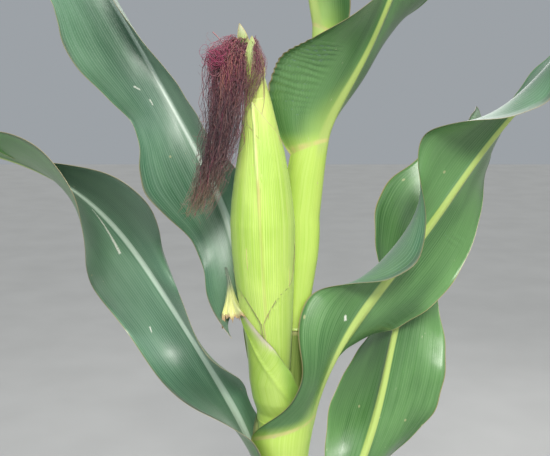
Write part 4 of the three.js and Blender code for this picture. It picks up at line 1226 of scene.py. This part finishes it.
def add_spikelets(tassel, path, radius, ranks, rng):
    """Pointed flowers set in ranks along a branch."""
    marks = np.concatenate([[0], np.cumsum(np.linalg.norm(np.diff(path, axis=0), axis=1))])
    t = np.array([0.0, 0.3, 0.6, 1.0])
    for row, at in enumerate(np.arange(SPIKELET_SPACING, marks[-1] - 1, SPIKELET_SPACING)):
        here = follow(at, marks, path)
        along = unit(follow(at + 2, marks, path) - here)
        for rank in range(ranks):
            a = rank / ranks * TURN + row * 1.1 + rng.uniform(-0.3, 0.3)
            side = unit(np.cross(along, [0.3, 0.5, 0.81]))
            out = side * math.cos(a) + np.cross(along, side) * math.sin(a)
            lean = unit(along + out * rng.uniform(0.35, 0.6))
            size = SPIKELET_LENGTH * rng.uniform(0.85, 1.15)
            line = here + out * radius * 0.8 + lean * (t * size)[:, None]
            place = np.repeat(vectors(t, rng.random(), 0.0), 5, 0)
            tassel.add(tube(line, SPIKELET_RADII, 5), capped_faces(4, 5), place=place)


def build_tassel():
    tassel = Piece("place")
    rng = np.random.default_rng(5)
    heights = np.linspace(STEM_TOP, SPIKE_TOP, 40)
    radii = np.interp(heights, [STEM_TOP, 2060, 2180, SPIKE_TOP], [3.4, 2.4, 1.8, 0.6])
    spike = stem_middle(heights)
    lines = [(spike, radii, spike[heights > SPIKE_BARE_TO], 4)]
    steps = 24
    t = (np.arange(steps) + 0.5) / steps
    for k in range(BRANCHES):
        share = k / (BRANCHES - 1)
        azimuth = math.radians(137.5 * k + 20)
        rise = np.radians(62 + 12 * share - 46 * t ** 1.4)
        length = 235 * (1 - 0.3 * share)
        step = around(np.cos(rise), azimuth, np.sin(rise)) * length / steps
        path = stem_middle(1945 + 120 * share) + np.vstack([np.zeros(3), np.cumsum(step, 0)])
        lines.append((path, np.linspace(1.5, 0.5, steps + 1), path, 2))
    for path, radii, dressed, ranks in lines:
        tassel.add(tube(path, radii, 8), capped_faces(len(path), 8), place=(0.2, 0.5, 1.0))
        add_spikelets(tassel, dressed, radii.mean(), ranks, rng)
    piece = tassel.make("maize_tassel", tassel_material())
    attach(piece, "root")
    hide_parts("tassel")


build_tassel()

# Floor and light

FLOOR_SIZE, FLOOR_DROP = 24, 0.0005
FLOOR_GRAIN = 3
SKY_COLOR, SKY_STRENGTH = (0.80, 0.86, 0.92, 1), 0.42
LIT_POINT = (0.05, 0, 1.1)
# Kind, power, place, color, and how large each lamp looks
LAMPS = {
    "key": ("SUN", 2.3, (0.05, -3.4, 3.22), (1.0, 0.98, 0.94), {"angle": math.radians(12)}),
    "softbox": ("AREA", 52, (1.04, -1.6, 2.95), (1.0, 0.97, 0.92), {"size": 1.5}),
    "fill": ("AREA", 20, (-1.8, -1.8, 1.8), (0.88, 0.94, 1.0), {"size": 2.4}),
    "back": ("AREA", 26, (1.0, 2.2, 2.4), (1.0, 1.0, 1.0), {"size": 2.0}),
}

bpy.ops.mesh.primitive_plane_add(size=FLOOR_SIZE, location=(0, 0, -FLOOR_DROP))
floor = bpy.context.object
floor.name = "floor"
paper = Nodes("floor_paper", 0.8)
spot = paper.split(Value(paper, paper.node("TexCoord").outputs["Object"]))
grain = paper.noise(*[axis * FLOOR_GRAIN for axis in spot])
paper.start(grain.ramp(0.2, 0.8), (0.46, 0.46, 0.45), (0.50, 0.50, 0.49))
floor.data.materials.append(paper.finish())

world = bpy.data.worlds.new("studio")
world.use_nodes = True
world.node_tree.nodes["Background"].inputs["Color"].default_value = SKY_COLOR
world.node_tree.nodes["Background"].inputs["Strength"].default_value = SKY_STRENGTH
bpy.context.scene.world = world

for name, (kind, power, at, color, extent) in LAMPS.items():
    data = bpy.data.lights.new(name, kind)
    data.energy = power
    data.color = color
    for key, value in extent.items():
        setattr(data, key, value)
    light = bpy.data.objects.new(name, data)
    light.location = at
    aim = np.array(LIT_POINT) - np.array(at)
    light.rotation_euler = (math.acos(-aim[2] / np.linalg.norm(aim)), 0,
                            math.atan2(aim[1], aim[0]) - math.pi / 2)
    bpy.context.scene.collection.objects.link(light)
